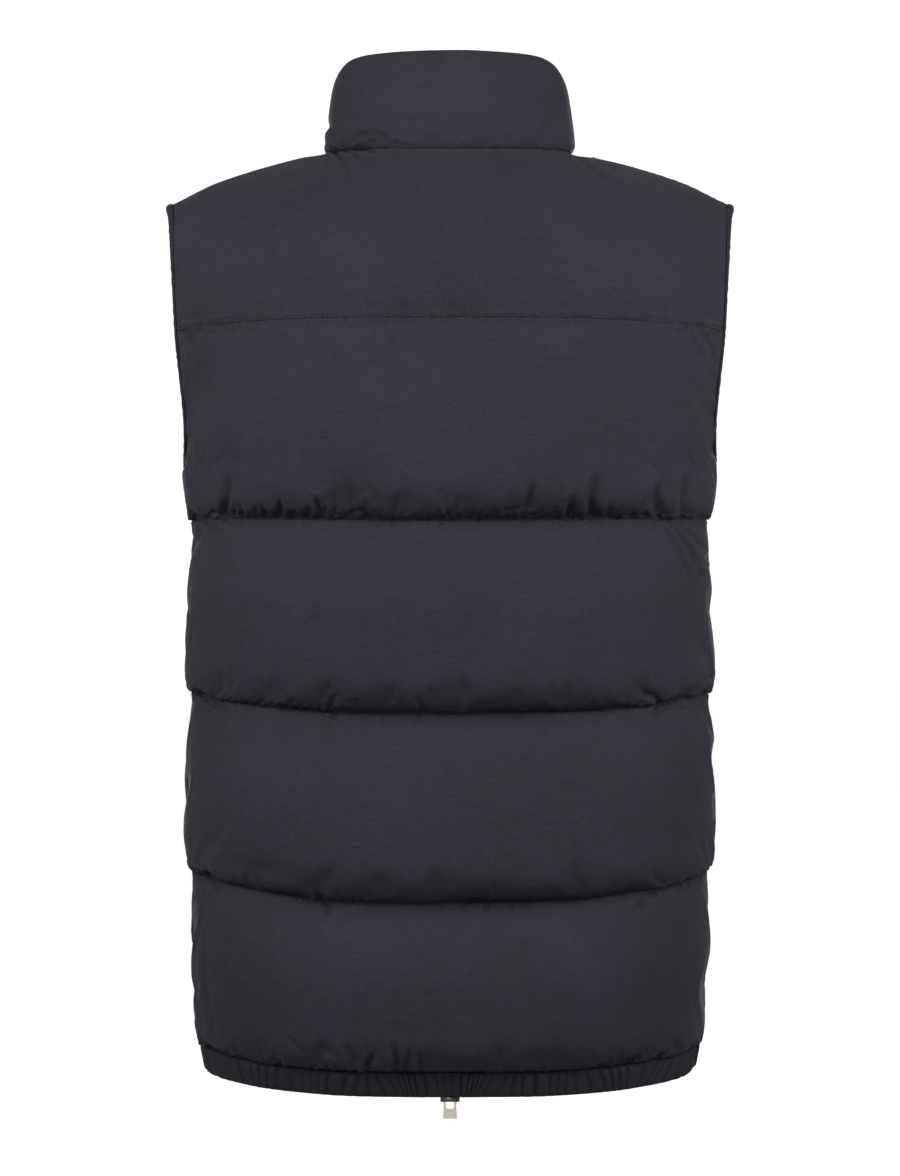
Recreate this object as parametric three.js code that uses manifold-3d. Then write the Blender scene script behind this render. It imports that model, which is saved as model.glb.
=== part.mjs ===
// A padded, cross-quilted vest, worn and zipped up, hollow, as it stands on a general figure.
// Millimetres, +Z up. The wearer faces -Y, so the back of the vest faces +Y.
// The origin lies in the middle of the neck opening, at the height of the back collar seam.
import * as THREE from 'three';
import { mergeVertices } from 'three/addons/utils/BufferGeometryUtils.js';
import Module from 'manifold-3d';

const wasm = await Module();
wasm.setup();

// Walls and seams
const WALL = 3;
const SEAM_GAP = 0.3;
const SEAM_PUFF = 1;
const RING_ROUNDNESS = 2.6;

// Quilting levels, from the yoke seam to the hem. z is the height at centre back, the widths and depths
// are those of the stitched surface, side_rise is how much higher the level lies at the side, and
// front_drop how much lower at centre front. back_puff and front_puff are for the channel above.
const LEVELS = [
  { name: 'yoke', z: -131, half_width: 214, back: 127, front: 121, side_rise: -6, front_drop: 8, back_puff: 0, front_puff: 0 },
  { name: 'chest', z: -282, half_width: 197.5, back: 126, front: 123, side_rise: 2, front_drop: 10, back_puff: 15, front_puff: 15 },
  { name: 'waist', z: -426, half_width: 198, back: 123, front: 121, side_rise: 15, front_drop: 15, back_puff: 18, front_puff: 17 },
  { name: 'hip', z: -567, half_width: 197.5, back: 124, front: 121, side_rise: 20, front_drop: 22, back_puff: 19, front_puff: 17 },
  { name: 'band', z: -695, half_width: 189.5, back: 114, front: 110, side_rise: 12, front_drop: 29, back_puff: 20, front_puff: 17 },
  { name: 'hem', z: -714.5, half_width: 187, back: 109, front: 106, side_rise: 10, front_drop: 29, back_puff: 0, front_puff: 0 },
];
// Across the back a level stays flat and turns up only near the side seam
const RISE_POWER = 6;
const SIDE_PUFF = 5;
const SAG = 4;
const PUCKER = 1.4;
const FULLEST = 0.55;
const FILL_BEND = 0.8;
const TURN_IN = 4.5;
const TURN_BEND = 0.6;

// Rows of the walls: shares of the height of a channel, closer together beside the seams
const CHANNEL_ROWS = [0, 0.05, 0.16, 0.34, 0.56, 0.76, 0.89, 0.96, 1];
const YOKE_ROWS = [0, 0.08, 0.22, 0.38, 0.54, 0.7, 0.85, 0.94, 1];
const BACK_COLUMNS = 36;
const FRONT_COLUMNS = 18;

// Side seam and armhole
const SIDE_SEAM_Y = 14;
const UNDERARM_Z = -240;
const UNDERARM_SHARE = (LEVELS[0].z - UNDERARM_Z) / (LEVELS[0].z - LEVELS[1].z);
const ARMHOLE_CHANNEL_ROWS = [0, 0.05, 0.16, 0.3, 0.44, 0.54, 0.62, 0.68, UNDERARM_SHARE, 0.8, 0.88, 0.96, 1];
const ARMHOLE_ROUND = 50;
const ARMHOLE_BACK_Y = 50;
const ARMHOLE_FRONT_Y = -56;
const BINDING_WIDTH = 5;

// Yoke and shoulders
const YOKE_PUFF = 8;
const SHOULDER_TIP_X = 216;
const SHOULDER_DROP = 42;
const SHOULDER_BEND = 1.25;
const NECK_SHARE = { back: 0.45, front: 0.5 };
// Where the yoke bends over towards its top: the depth and the drop of that bend, at its middle and its edge
const YOKE_CROWN = {
  back: { middle: 118, edge: 44, drop: 14, edge_drop: 8 },
  front: { middle: 112, edge: 46, drop: 24, edge_drop: 10 },
};
const YOKE_LEAN = 0.3;

// Neck and collar
const NECK = { half_width: 91, back: 82, front: 82, side_z: 5, front_z: -62 };
const NECK_GAP = 0.8;
const COLLAR_TOP = { half_width: 84, back: 76, front: 75, back_z: 76.5, side_z: 61, front_z: 8 };
const COLLAR_CORNER_POWER = 12;
const COLLAR_COLUMNS = 44;
// Section of the collar: share of its height, and how far each point stands out from its middle
const COLLAR_SECTION = [
  { height: 0, out: 3 },
  { height: 0.12, out: 5 },
  { height: 0.4, out: 6 },
  { height: 0.72, out: 5.5 },
  { height: 0.93, out: 4 },
  { height: 1, out: 0 },
  { height: 0.93, out: -3.6 },
  { height: 0.6, out: -4.6 },
  { height: 0.2, out: -4.4 },
  { height: 0.045, out: -3 },
];

// Hem band with its gathers
const HEM_GATHERS = { back: 44, front: 26 };
const HEM_SECTION = [
  { height: 0, out: 0.5, gather: 0 },
  { height: 0.32, out: 1, gather: 2.4 },
  { height: 0.8, out: 1, gather: 2.6 },
  { height: 1, out: 0.4, gather: 0.8 },
  { height: 1, out: -2.4, gather: 0 },
  { height: 0, out: -2.6, gather: 0 },
];

// Zip: half widths of its chain and of the opening between the front edges
const ZIP_OPENING = 9;
const CHAIN_HALF_WIDTH = 3.4;
const CHAIN_THICKNESS = 2.4;
const TAPE_THICKNESS = 1;
const ZIP_STEPS = 34;

// Slider and pull tab, in a frame with x across, z along the zip and y out of its face
const SLIDER = { length: 13.5, wide: 7.8, narrow: 5.4, plate: 1.2, mouth: 3.4, divider: 3.6 };
const BAIL = { half_width: 1.3, reach: 7.1, window: 5.6, half_length: 4.8, leg: 1.2 };
const PULL = { hinge_out: 4.3, hinge_z: -2.4, thickness: 1.4, bar: 0.8, top: 5.3, foot: 6.2, eye: 3, wire: 0.9 };
const PULL_LENGTHS = { eye: 9.4, plate: 15.6, ridge: 18, foot: 25.2 };
const TOP_SLIDER_BELOW_EDGE = 12;

const CLOTH = new THREE.MeshStandardMaterial({ color: 0x33343d, roughness: 0.62, metalness: 0 });
const BAND = new THREE.MeshStandardMaterial({ color: 0x262a36, roughness: 0.75, metalness: 0 });
const TAPE = new THREE.MeshStandardMaterial({ color: 0x1d1e26, roughness: 0.8, metalness: 0 });
const TEETH = new THREE.MeshStandardMaterial({ color: 0x22232a, roughness: 0.45, metalness: 0.2 });
const METAL = new THREE.MeshStandardMaterial({ color: 0x6b6863, roughness: 0.35, metalness: 1 });

const mix = THREE.MathUtils.lerp;
const smooth = THREE.MathUtils.smoothstep;
const HALF_TURN = Math.PI;
const QUARTER_TURN = Math.PI / 2;

// A column of the LEVELS table at any height, on a smooth curve through its rows
function levelValue(key, z) {
  const last = LEVELS.length - 1;
  let i = 0;
  while (i < last - 1 && z < LEVELS[i + 1].z) i += 1;
  const slope = (k) => {
    const low = LEVELS[Math.max(k - 1, 0)];
    const high = LEVELS[Math.min(k + 1, last)];
    return (high[key] - low[key]) / (high.z - low.z);
  };
  const a = LEVELS[i];
  const b = LEVELS[i + 1];
  const span = b.z - a.z;
  const t = (z - a.z) / span;
  const t2 = t * t;
  const t3 = t2 * t;
  return (2 * t3 - 3 * t2 + 1) * a[key] + (t3 - 2 * t2 + t) * span * slope(i)
    + (3 * t2 - 2 * t3) * b[key] + (t3 - t2) * span * slope(i + 1);
}

function ringAxes(z, angle) {
  const depth = Math.abs(angle) <= QUARTER_TURN ? levelValue('back', z) : levelValue('front', z);
  return { width: levelValue('half_width', z), depth };
}

// The stitched surface of the body at a level, at an angle counted from centre back
function ringPoint(z, angle) {
  const { width, depth } = ringAxes(z, angle);
  const s = Math.sin(angle);
  const c = Math.cos(angle);
  const n = RING_ROUNDNESS;
  const radius = (Math.abs(s / width) ** n + Math.abs(c / depth) ** n) ** (-1 / n);
  const side = levelValue('side_rise', z);
  const rise = c > 0 ? side * s ** RISE_POWER : side - (side + levelValue('front_drop', z)) * c * c;
  return new THREE.Vector3(radius * s, radius * c, z + rise);
}

function ringNormal(z, angle) {
  const { width, depth } = ringAxes(z, angle);
  const p = ringPoint(z, angle);
  const power = RING_ROUNDNESS - 1;
  const x = Math.sign(p.x) * Math.abs(p.x / width) ** power / width;
  const y = Math.sign(p.y) * Math.abs(p.y / depth) ** power / depth;
  return new THREE.Vector3(x, y, 0).normalize();
}

// The angle at which the ring of a level reaches a depth y
function angleAtDepth(z, y) {
  const { width, depth } = ringAxes(z, y > 0 ? 0 : HALF_TURN);
  const x = width * (1 - Math.abs(y / depth) ** RING_ROUNDNESS) ** (1 / RING_ROUNDNESS);
  return Math.atan2(x, y);
}

// Depth of a panel's side edge: the side seam, and above the underarm the curve of the armhole
function edgeDepth(z, part) {
  const seam = SIDE_SEAM_Y + (part === 'back' ? SEAM_GAP / 2 : -SEAM_GAP / 2);
  if (z <= UNDERARM_Z) return seam;
  const u = Math.min(1, (z - UNDERARM_Z) / ARMHOLE_ROUND);
  const open = part === 'back' ? ARMHOLE_BACK_Y : ARMHOLE_FRONT_Y;
  return seam + (open - seam) * Math.sqrt(1 - (1 - u) ** 2);
}

// Angle of a point of the body: share 0 is centre back, or the zip edge of a front, and 1 the side edge
function bodyAngle(part, share, z) {
  const edge = angleAtDepth(z, edgeDepth(z, part));
  if (part === 'back') return share * edge;
  const zipEdge = HALF_TURN - Math.asin(ZIP_OPENING / ringAxes(z, HALF_TURN).depth);
  return mix(zipEdge, edge, share);
}

function neckHeight(angle) {
  const s = Math.sin(angle);
  const c = Math.cos(angle);
  return c > 0 ? NECK.side_z * s * s : NECK.side_z - (NECK.side_z - NECK.front_z) * c * c;
}

function neckPoint(angle) {
  const depth = Math.cos(angle) > 0 ? NECK.back : NECK.front;
  return new THREE.Vector3(NECK.half_width * Math.sin(angle), depth * Math.cos(angle), neckHeight(angle));
}

function neckOut(angle) {
  const depth = Math.cos(angle) > 0 ? NECK.back : NECK.front;
  return new THREE.Vector3(Math.sin(angle) / NECK.half_width, Math.cos(angle) / depth, 0).normalize();
}

// The top end of a yoke column: the neck seam up to the neck's side, then the shoulder seam to its tip
function yokeTop(part, share) {
  const turn = part === 'back' ? 1 : -1;
  const neckShare = NECK_SHARE[part];
  const zipAngle = Math.asin(ZIP_OPENING / NECK.half_width);
  const along = Math.min(1, share / neckShare);
  const angle = part === 'back' ? along * QUARTER_TURN : HALF_TURN - mix(zipAngle, QUARTER_TURN, along);
  const out = neckOut(angle);
  const crown = YOKE_CROWN[part];
  const depth = turn * mix(crown.middle, crown.edge, share);
  const drop = mix(crown.drop, crown.edge_drop, share);
  if (share <= neckShare) return { point: neckPoint(angle), depth, drop, normal: out };
  const u = (share - neckShare) / (1 - neckShare);
  const x = mix(NECK.half_width, SHOULDER_TIP_X, u);
  const z = NECK.side_z - NECK_GAP - SHOULDER_DROP * u ** SHOULDER_BEND;
  const slope = SHOULDER_DROP * SHOULDER_BEND * u ** (SHOULDER_BEND - 1) / (SHOULDER_TIP_X - NECK.half_width);
  const level = new THREE.Vector3(slope, 0, 1).normalize();
  const normal = new THREE.Vector3(1, 0, 0).lerp(level, smooth(u, 0.02, 0.25)).normalize();
  return { point: new THREE.Vector3(x, turn * SEAM_GAP / 2, z), depth, drop, normal };
}

// The stitched surface of the yoke: rise 0 is the yoke line and 1 the neck or the shoulder seam
function yokePoint(part, share, rise) {
  const z = LEVELS[0].z;
  const foot = ringPoint(z, bodyAngle(part, share, z));
  const { point, depth, drop } = yokeTop(part, share);
  const up = new THREE.Vector3(foot.x, foot.y, mix(foot.z, point.z, 0.5));
  const bend = new THREE.Vector3(mix(foot.x, point.x, YOKE_LEAN), depth, point.z - drop);
  return new THREE.CubicBezierCurve3(foot, up, bend, point).getPoint(rise);
}

function yokeNormal(part, share, rise) {
  const step = 0.01;
  const low = Math.max(0, share - step);
  const high = Math.min(1, share + step);
  const across = yokePoint(part, high, rise).sub(yokePoint(part, low, rise));
  const bottom = Math.max(0, rise - step);
  const top = Math.min(1, rise + step);
  const upwards = yokePoint(part, share, top).sub(yokePoint(part, share, bottom));
  const normal = across.cross(upwards).multiplyScalar(part === 'back' ? -1 : 1).normalize();
  if (part === 'front' && share === 0) normal.setX(0).normalize();
  const z = LEVELS[0].z;
  const foot = ringNormal(z, bodyAngle(part, share, z));
  const head = yokeTop(part, share).normal;
  normal.lerp(foot, 1 - smooth(rise, 0, 0.2)).lerp(head, smooth(rise, 0.8, 1));
  return normal.normalize();
}

// How full a channel is from its upper seam, 0, to its lower one, 1: it fills soon, stays full and turns in
// sharply at its lower edge
function channelFullness(v) {
  if (v < FULLEST) return Math.sin(QUARTER_TURN * v / FULLEST) ** FILL_BEND;
  return (1 - ((v - FULLEST) / (1 - FULLEST)) ** TURN_IN) ** TURN_BEND;
}

// Padding thins out beside the zip, the side seam and the armhole
function edgeFade(part, share, z) {
  const armhole = smooth(z, UNDERARM_Z - 10, UNDERARM_Z + 40);
  const side = 1 - mix(0.45, 0.55, armhole) * smooth(share, mix(0.94, 0.84, armhole), 1);
  const zip = part === 'front' ? 0.06 + 0.94 * smooth(share, 0, 0.16) ** 0.7 : 1;
  return side * zip;
}

// Short puckers that the stitching draws into the cloth beside a seam, every second column
function pucker(column, v) {
  const near = Math.max(smooth(v, 0.6, 0.93) * (1 - smooth(v, 0.96, 1)), 0.6 * (1 - smooth(v, 0.05, 0.3)) * smooth(v, 0, 0.05));
  const uneven = 0.35 + 0.65 * Math.abs(Math.sin(column * 2.4));
  return PUCKER * near * uneven * (column % 2 === 0 ? 1 : -1);
}

// One grid row of a panel, as the outer and the inner points of its wall
function bodyRow(part, shares, upper, lower, v) {
  const height = upper.z - lower.z;
  const atTop = upper.name === 'yoke' && v === 0 && part === 'back';
  const atBottom = lower.name === 'band' && v === 1;
  const z = upper.z - v * height - (atTop ? SEAM_GAP / 2 : 0) + (atBottom ? SEAM_GAP / 2 : 0);
  const full = channelFullness(v);
  const amplitude = lower[part + '_puff'];
  const outer = [];
  const inner = [];
  shares.forEach((share, column) => {
    const angle = bodyAngle(part, Math.abs(share), z) * (share < 0 ? -1 : 1);
    const base = ringPoint(z, angle);
    const normal = ringNormal(z, angle);
    const facing = Math.abs(Math.cos(angle)) ** 1.1;
    const swell = mix(SIDE_PUFF, amplitude, facing) * full * edgeFade(part, Math.abs(share), z);
    const onEdge = Math.abs(share) === 1 || (part === 'front' && share === 0);
    const ripple = onEdge ? 0 : pucker(column, v);
    const sag = Math.min(SAG * full * v * v, 0.7 * (1 - v) * height);
    const out = base.clone().addScaledVector(normal, SEAM_PUFF + swell + ripple * Math.min(1, swell / 3));
    out.z -= sag;
    outer.push(out);
    inner.push(base.clone().addScaledVector(normal, -WALL));
  });
  return { outer, inner };
}

function yokeRow(part, shares, rise) {
  const outer = [];
  const inner = [];
  shares.forEach((share) => {
    const amount = Math.abs(share);
    const base = yokePoint(part, amount, rise);
    const normal = yokeNormal(part, amount, rise);
    const endFullness = mix(0.1, 0.55, smooth(amount, NECK_SHARE[part], NECK_SHARE[part] + 0.4));
    const rising = Math.sin(QUARTER_TURN * Math.min(1, rise / 0.45)) ** 0.7;
    const full = rise < 0.45 ? rising : mix(endFullness, 1, Math.cos(QUARTER_TURN * (rise - 0.45) / 0.55));
    const puff = SEAM_PUFF + YOKE_PUFF * full * edgeFade(part, amount, 0);
    const seamLift = rise === 0 && part === 'back' ? SEAM_GAP / 2 : 0;
    const neckLift = rise === 1 && amount <= NECK_SHARE[part] ? -NECK_GAP : 0;
    const mirrored = share < 0 ? -1 : 1;
    [[outer, puff], [inner, -WALL]].forEach(([row, distance]) => {
      const point = base.clone().addScaledVector(normal, distance);
      row.push(new THREE.Vector3(point.x * mirrored, point.y, point.z + seamLift + neckLift));
    });
  });
  return { outer, inner };
}

// A closed geometry from points and triangles, turned so that its faces point out
function closedGeometry(points, faces) {
  const position = new Float32Array(points.length * 3);
  points.forEach((p, i) => p.toArray(position, i * 3));
  let volume = 0;
  faces.forEach(([a, b, c]) => {
    volume += points[a].dot(points[b].clone().cross(points[c]));
  });
  const index = faces.flatMap(([a, b, c]) => (volume > 0 ? [a, b, c] : [a, c, b]));
  const geometry = new THREE.BufferGeometry();
  geometry.setAttribute('position', new THREE.BufferAttribute(position, 3));
  geometry.setIndex(index);
  geometry.computeVertexNormals();
  return geometry;
}

// A wall between a grid of outer points and every second point of the inner grid, with a rim all round
function wallGeometry(rows) {
  const last = rows.length - 1;
  const lastColumn = rows[0].outer.length - 1;
  const points = [];
  const faces = [];
  const outerAt = rows.map(({ outer }) => outer.map((p) => points.push(p) - 1));
  const innerAt = rows.map(({ inner }, r) => inner.map((p, c) => (r % 2 || c % 2 ? -1 : points.push(p) - 1)));
  for (let r = 0; r < last; r += 1) {
    for (let c = 0; c < lastColumn; c += 1) {
      const [a, b, d, e] = [outerAt[r][c], outerAt[r][c + 1], outerAt[r + 1][c], outerAt[r + 1][c + 1]];
      faces.push([a, b, e], [a, e, d]);
    }
  }
  for (let r = 0; r < last; r += 2) {
    for (let c = 0; c < lastColumn; c += 2) {
      const [a, b, d, e] = [innerAt[r][c], innerAt[r][c + 2], innerAt[r + 2][c], innerAt[r + 2][c + 2]];
      faces.push([a, e, b], [a, d, e]);
    }
  }
  const rim = [];
  for (let c = 0; c < lastColumn; c += 1) rim.push([0, c]);
  for (let r = 0; r < last; r += 1) rim.push([r, lastColumn]);
  for (let c = lastColumn; c > 0; c -= 1) rim.push([last, c]);
  for (let r = last; r > 0; r -= 1) rim.push([r, 0]);
  for (let k = 0; k < rim.length; k += 2) {
    const [start, middle, end] = [rim[k], rim[k + 1], rim[(k + 2) % rim.length]];
    const [o0, o1, o2] = [start, middle, end].map(([r, c]) => outerAt[r][c]);
    const [i0, i2] = [start, end].map(([r, c]) => innerAt[r][c]);
    faces.push([o1, o0, i0], [o1, i0, i2], [o2, o1, i2]);
  }
  return closedGeometry(points, faces);
}

// A closed geometry through sections with the same number of points, ends capped or joined in a loop
function sweptGeometry(sections, looped = false) {
  const count = sections[0].length;
  const points = sections.flat().map((p) => p.clone());
  const faces = [];
  const steps = looped ? sections.length : sections.length - 1;
  for (let k = 0; k < steps; k += 1) {
    const here = k * count;
    const next = ((k + 1) % sections.length) * count;
    for (let i = 0; i < count; i += 1) {
      const j = (i + 1) % count;
      faces.push([here + i, here + j, next + j], [here + i, next + j, next + i]);
    }
  }
  if (!looped) {
    [[0, 1], [sections.length - 1, -1]].forEach(([k, turn]) => {
      const centre = new THREE.Vector3();
      sections[k].forEach((p) => centre.addScaledVector(p, 1 / count));
      const middle = points.push(centre) - 1;
      for (let i = 0; i < count; i += 1) {
        const a = k * count + i;
        const b = k * count + ((i + 1) % count);
        faces.push(turn > 0 ? [middle, b, a] : [middle, a, b]);
      }
    });
  }
  return closedGeometry(points, faces);
}

function sharesFrom(first, last, steps) {
  return Array.from({ length: steps + 1 }, (_, k) => mix(first, last, k / steps));
}

// All rows of a body panel, channel by channel, each seam row shared by the channels it parts
function bodyRows(part, shares) {
  const rows = [];
  for (let i = 0; i + 2 < LEVELS.length; i += 1) {
    const table = i === 0 ? ARMHOLE_CHANNEL_ROWS : CHANNEL_ROWS;
    table.forEach((v) => {
      if (i > 0 && v === 0) return;
      rows.push(bodyRow(part, shares, LEVELS[i], LEVELS[i + 1], v));
    });
  }
  return rows;
}

function yokeRows(part, shares) {
  return YOKE_ROWS.map((rise) => yokeRow(part, shares, rise)).reverse();
}

function mirrorRows(rows) {
  const flip = (p) => new THREE.Vector3(-p.x, p.y, p.z);
  return rows.map(({ outer, inner }) => ({ outer: outer.map(flip), inner: inner.map(flip) }));
}

const backShares = sharesFrom(-1, 1, BACK_COLUMNS);
const frontShares = sharesFrom(0, 1, FRONT_COLUMNS);
const backBodyRows = bodyRows('back', backShares);
const backYokeRows = yokeRows('back', backShares);
const frontRows = [...yokeRows('front', frontShares), ...bodyRows('front', frontShares).slice(1)];

// Collar: one padded stand from zip edge to zip edge, in sections round the neck
function collarSection(angle, side) {
  const c = Math.cos(angle);
  const s = Math.sin(angle);
  const topDepth = c > 0 ? COLLAR_TOP.back : COLLAR_TOP.front;
  const backTop = mix(COLLAR_TOP.back_z, COLLAR_TOP.side_z, s ** COLLAR_CORNER_POWER);
  const topZ = c > 0 ? backTop : mix(COLLAR_TOP.side_z, COLLAR_TOP.front_z, c * c);
  const foot = neckPoint(angle);
  const out = neckOut(angle);
  return COLLAR_SECTION.map((row) => {
    const x = mix(foot.x, COLLAR_TOP.half_width * s, row.height) + out.x * row.out;
    const y = mix(foot.y, topDepth * c, row.height) + out.y * row.out;
    const z = mix(foot.z + SEAM_GAP, topZ, row.height);
    return new THREE.Vector3(side * Math.max(x, s < 0.2 && c < 0 ? ZIP_OPENING : 0), y, z);
  });
}

function collarGeometry() {
  const end = HALF_TURN - Math.asin(ZIP_OPENING / NECK.half_width);
  const sections = sharesFrom(-end, end, COLLAR_COLUMNS).map((angle, k) => {
    const section = collarSection(Math.abs(angle), angle < 0 ? -1 : 1);
    const atEnd = k === 0 || k === COLLAR_COLUMNS;
    if (atEnd) section.forEach((p) => p.setX(Math.sign(p.x) * ZIP_OPENING));
    return section;
  });
  return sweptGeometry(sections);
}

// Hem band: a gathered casing whose outer face stands out at every second column
function hemGeometry(part, gathers) {
  const [band, hem] = LEVELS.slice(-2);
  const steps = gathers * 2;
  const shares = part === 'back' ? sharesFrom(-1, 1, steps) : sharesFrom(0, 1, steps);
  const sections = shares.map((share, k) => HEM_SECTION.map((row) => {
    const z = mix(band.z - SEAM_GAP / 2, hem.z, row.height);
    const angle = bodyAngle(part, Math.abs(share), z) * (share < 0 ? -1 : 1);
    const uneven = 0.6 + 0.4 * Math.abs(Math.sin(k * 1.7));
    const out = row.out + (k % 2 ? row.gather * uneven : 0);
    return ringPoint(z, angle).addScaledVector(ringNormal(z, angle), out);
  }));
  return sweptGeometry(sections);
}

// Armhole binding: a strip round the raw edges of back and front, made from their edge points
function bindingGeometry() {
  const edgeRows = (rows) => rows.map(({ outer, inner }) => ({
    outer: outer[outer.length - 1],
    inner: inner[inner.length - 1],
  }));
  const underarm = ({ inner }) => inner.z >= UNDERARM_Z + levelValue('side_rise', UNDERARM_Z) - 1;
  const everySecond = (_, k) => k % 2 === 0;
  const back = edgeRows([...backYokeRows, ...backBodyRows.slice(1)]).filter(everySecond).filter(underarm).reverse();
  const front = edgeRows(frontRows).filter(everySecond).filter(underarm);
  const loop = [...back.slice(0, -1), ...front.slice(0, -1)];
  const centre = new THREE.Vector3();
  loop.forEach(({ inner }) => centre.addScaledVector(inner, 1 / loop.length));
  const sections = loop.map(({ outer, inner }, k) => {
    const before = loop[(k + loop.length - 1) % loop.length].inner;
    const after = loop[(k + 1) % loop.length].inner;
    const normal = outer.clone().sub(inner);
    const thickness = normal.length();
    normal.normalize();
    const away = after.clone().sub(before).cross(normal).normalize();
    if (away.dot(centre.clone().sub(inner)) < 0) away.negate();
    const place = (across, depth) => inner.clone().addScaledVector(away, across).addScaledVector(normal, depth);
    const clear = SEAM_GAP + 0.2;
    return [
      place(clear, -0.4),
      place(clear, thickness + 0.4),
      place(clear + BINDING_WIDTH * 0.6, thickness + 0.9),
      place(clear + BINDING_WIDTH, thickness * 0.5 + 1.2),
      place(clear + BINDING_WIDTH, thickness * 0.5 - 1.2),
      place(clear + BINDING_WIDTH * 0.6, -0.9),
    ];
  });
  return sweptGeometry(sections, true);
}

// The line that the zip follows: up the middle of the front edges and on between the collar's ends
function zipCurve() {
  const zipPoint = (y, z) => new THREE.Vector3(0, y, z);
  const middle = (WALL - SEAM_PUFF) / 2;
  const hem = LEVELS[LEVELS.length - 1];
  const start = ringPoint(hem.z, HALF_TURN);
  const edge = frontRows.map(({ inner }) => inner[0]).reverse();
  const body = edge.filter((_, k) => k % 3 === 0 && k < edge.length - 3).map((p) => zipPoint(p.y - WALL + middle, p.z));
  const ends = [0.06, 0.3, 0.6, 1].map((height) => {
    const y = -mix(NECK.front, COLLAR_TOP.front, height);
    return zipPoint(y, mix(NECK.front_z, COLLAR_TOP.front_z, height));
  });
  return new THREE.CatmullRomCurve3([zipPoint(start.y + middle, start.z), ...body, ...ends], false, 'centripetal');
}

const zipLine = zipCurve();

function zipFrame(share) {
  const point = zipLine.getPointAt(share);
  const along = zipLine.getTangentAt(share);
  const out = new THREE.Vector3(0, -along.z, along.y);
  return { point, along, out };
}

function zipStrip(from, to, inside, outside, thickness) {
  const sections = sharesFrom(from, to, ZIP_STEPS).map((share) => {
    const { point, out } = zipFrame(share);
    const place = (x, depth) => point.clone().addScaledVector(out, depth).setX(x);
    const half = thickness / 2;
    return [place(inside, -half), place(outside, -half), place(outside, half), place(inside, half)];
  });
  return sweptGeometry(sections);
}

function solidOf(geometry) {
  const bare = geometry.index ? geometry.toNonIndexed() : geometry.clone();
  bare.deleteAttribute('normal');
  bare.deleteAttribute('uv');
  const merged = mergeVertices(bare, 1e-4);
  return new wasm.Manifold(new wasm.Mesh({
    numProp: 3,
    vertProperties: merged.attributes.position.array,
    triVerts: new Uint32Array(merged.index.array),
  }));
}

function geometryOf(solid) {
  const mesh = solid.getMesh();
  const geometry = new THREE.BufferGeometry();
  geometry.setAttribute('position', new THREE.BufferAttribute(new Float32Array(mesh.vertProperties), 3));
  geometry.setIndex(new THREE.BufferAttribute(new Uint32Array(mesh.triVerts), 1));
  geometry.computeVertexNormals();
  return geometry;
}

// A plate in the slider's frame: an outline across and along the zip, from one depth to another
function plate(outline, from, to) {
  const shape = new THREE.Shape(outline.map(([x, z]) => new THREE.Vector2(x, z)));
  const geometry = new THREE.ExtrudeGeometry(shape, { depth: to - from, bevelEnabled: false });
  return geometry.rotateX(QUARTER_TURN).translate(0, to, 0);
}

function block(x, y, z, atX, atY, atZ) {
  return new THREE.BoxGeometry(x, y, z).translate(atX, atY, atZ);
}

// Slider with two plates, the divider between them and the bail that carries the pull tab.
// The divider is at its wide lower end.
function sliderGeometry() {
  const half = SLIDER.length / 2;
  const outline = [
    [-SLIDER.wide, -half], [SLIDER.wide, -half], [SLIDER.wide, -half + 3.4],
    [SLIDER.narrow, -half + 7], [SLIDER.narrow, half - 1], [SLIDER.narrow - 1, half],
    [-SLIDER.narrow + 1, half], [-SLIDER.narrow, half - 1], [-SLIDER.narrow, -half + 7],
    [-SLIDER.wide, -half + 3.4],
  ];
  const inside = SLIDER.mouth / 2;
  const face = inside + SLIDER.plate;
  const front = solidOf(plate(outline, inside, face));
  const back = solidOf(plate(outline, -face, -inside));
  const divider = solidOf(block(4, SLIDER.mouth + 0.4, SLIDER.divider, 0, 0, -half + SLIDER.divider / 2));
  const width = 2 * BAIL.half_width;
  const reach = BAIL.reach - face + 0.2;
  const arch = solidOf(block(width, reach, 2 * BAIL.half_length, 0, face - 0.2 + reach / 2, 0));
  const height = BAIL.window - face;
  const window = solidOf(block(width + 2, height, 2 * (BAIL.half_length - BAIL.leg), 0, face + height / 2, 0));
  const bail = arch.subtract(window);
  return geometryOf(front.add(back).add(divider).add(bail));
}

// Pull tab, hanging from its bar at the origin: an eye for the bail, a plain plate and an open wire foot
function pullGeometry() {
  const half = PULL.thickness / 2;
  const at = (z) => mix(PULL.top, PULL.foot, z / PULL_LENGTHS.foot);
  const { eye, plate: plateEnd, ridge, foot } = PULL_LENGTHS;
  const body = [
    [-at(0), 0], [at(0), 0], [at(ridge), -ridge], [at(foot), -foot + 1],
    [at(foot) - 1, -foot], [-at(foot) + 1, -foot], [-at(foot), -foot + 1], [-at(ridge), -ridge],
  ];
  const eyeHole = [
    [-PULL.eye, -PULL.bar], [PULL.eye, -PULL.bar], [PULL.eye, -eye + 1.2], [PULL.eye - 1.2, -eye],
    [-PULL.eye + 1.2, -eye], [-PULL.eye, -eye + 1.2],
  ];
  const wire = PULL.wire;
  const footHole = [
    [-at(ridge) + wire, -ridge], [at(ridge) - wire, -ridge],
    [at(foot) - wire, -foot + wire], [-at(foot) + wire, -foot + wire],
  ];
  const bar = solidOf(new THREE.CylinderGeometry(PULL.bar, PULL.bar, 2 * at(0), 16).rotateZ(QUARTER_TURN));
  const tab = solidOf(plate(body, -half, half)).add(bar);
  const raised = solidOf(block(2 * at(plateEnd) - 1, PULL.thickness + 0.5, ridge - plateEnd, 0, 0, -(ridge + plateEnd) / 2));
  const cuts = [eyeHole, footHole].map((outline) => solidOf(plate(outline, -2, 2)));
  return geometryOf(tab.add(raised).subtract(cuts[0]).subtract(cuts[1]));
}

const vest = new THREE.Group();

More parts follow.
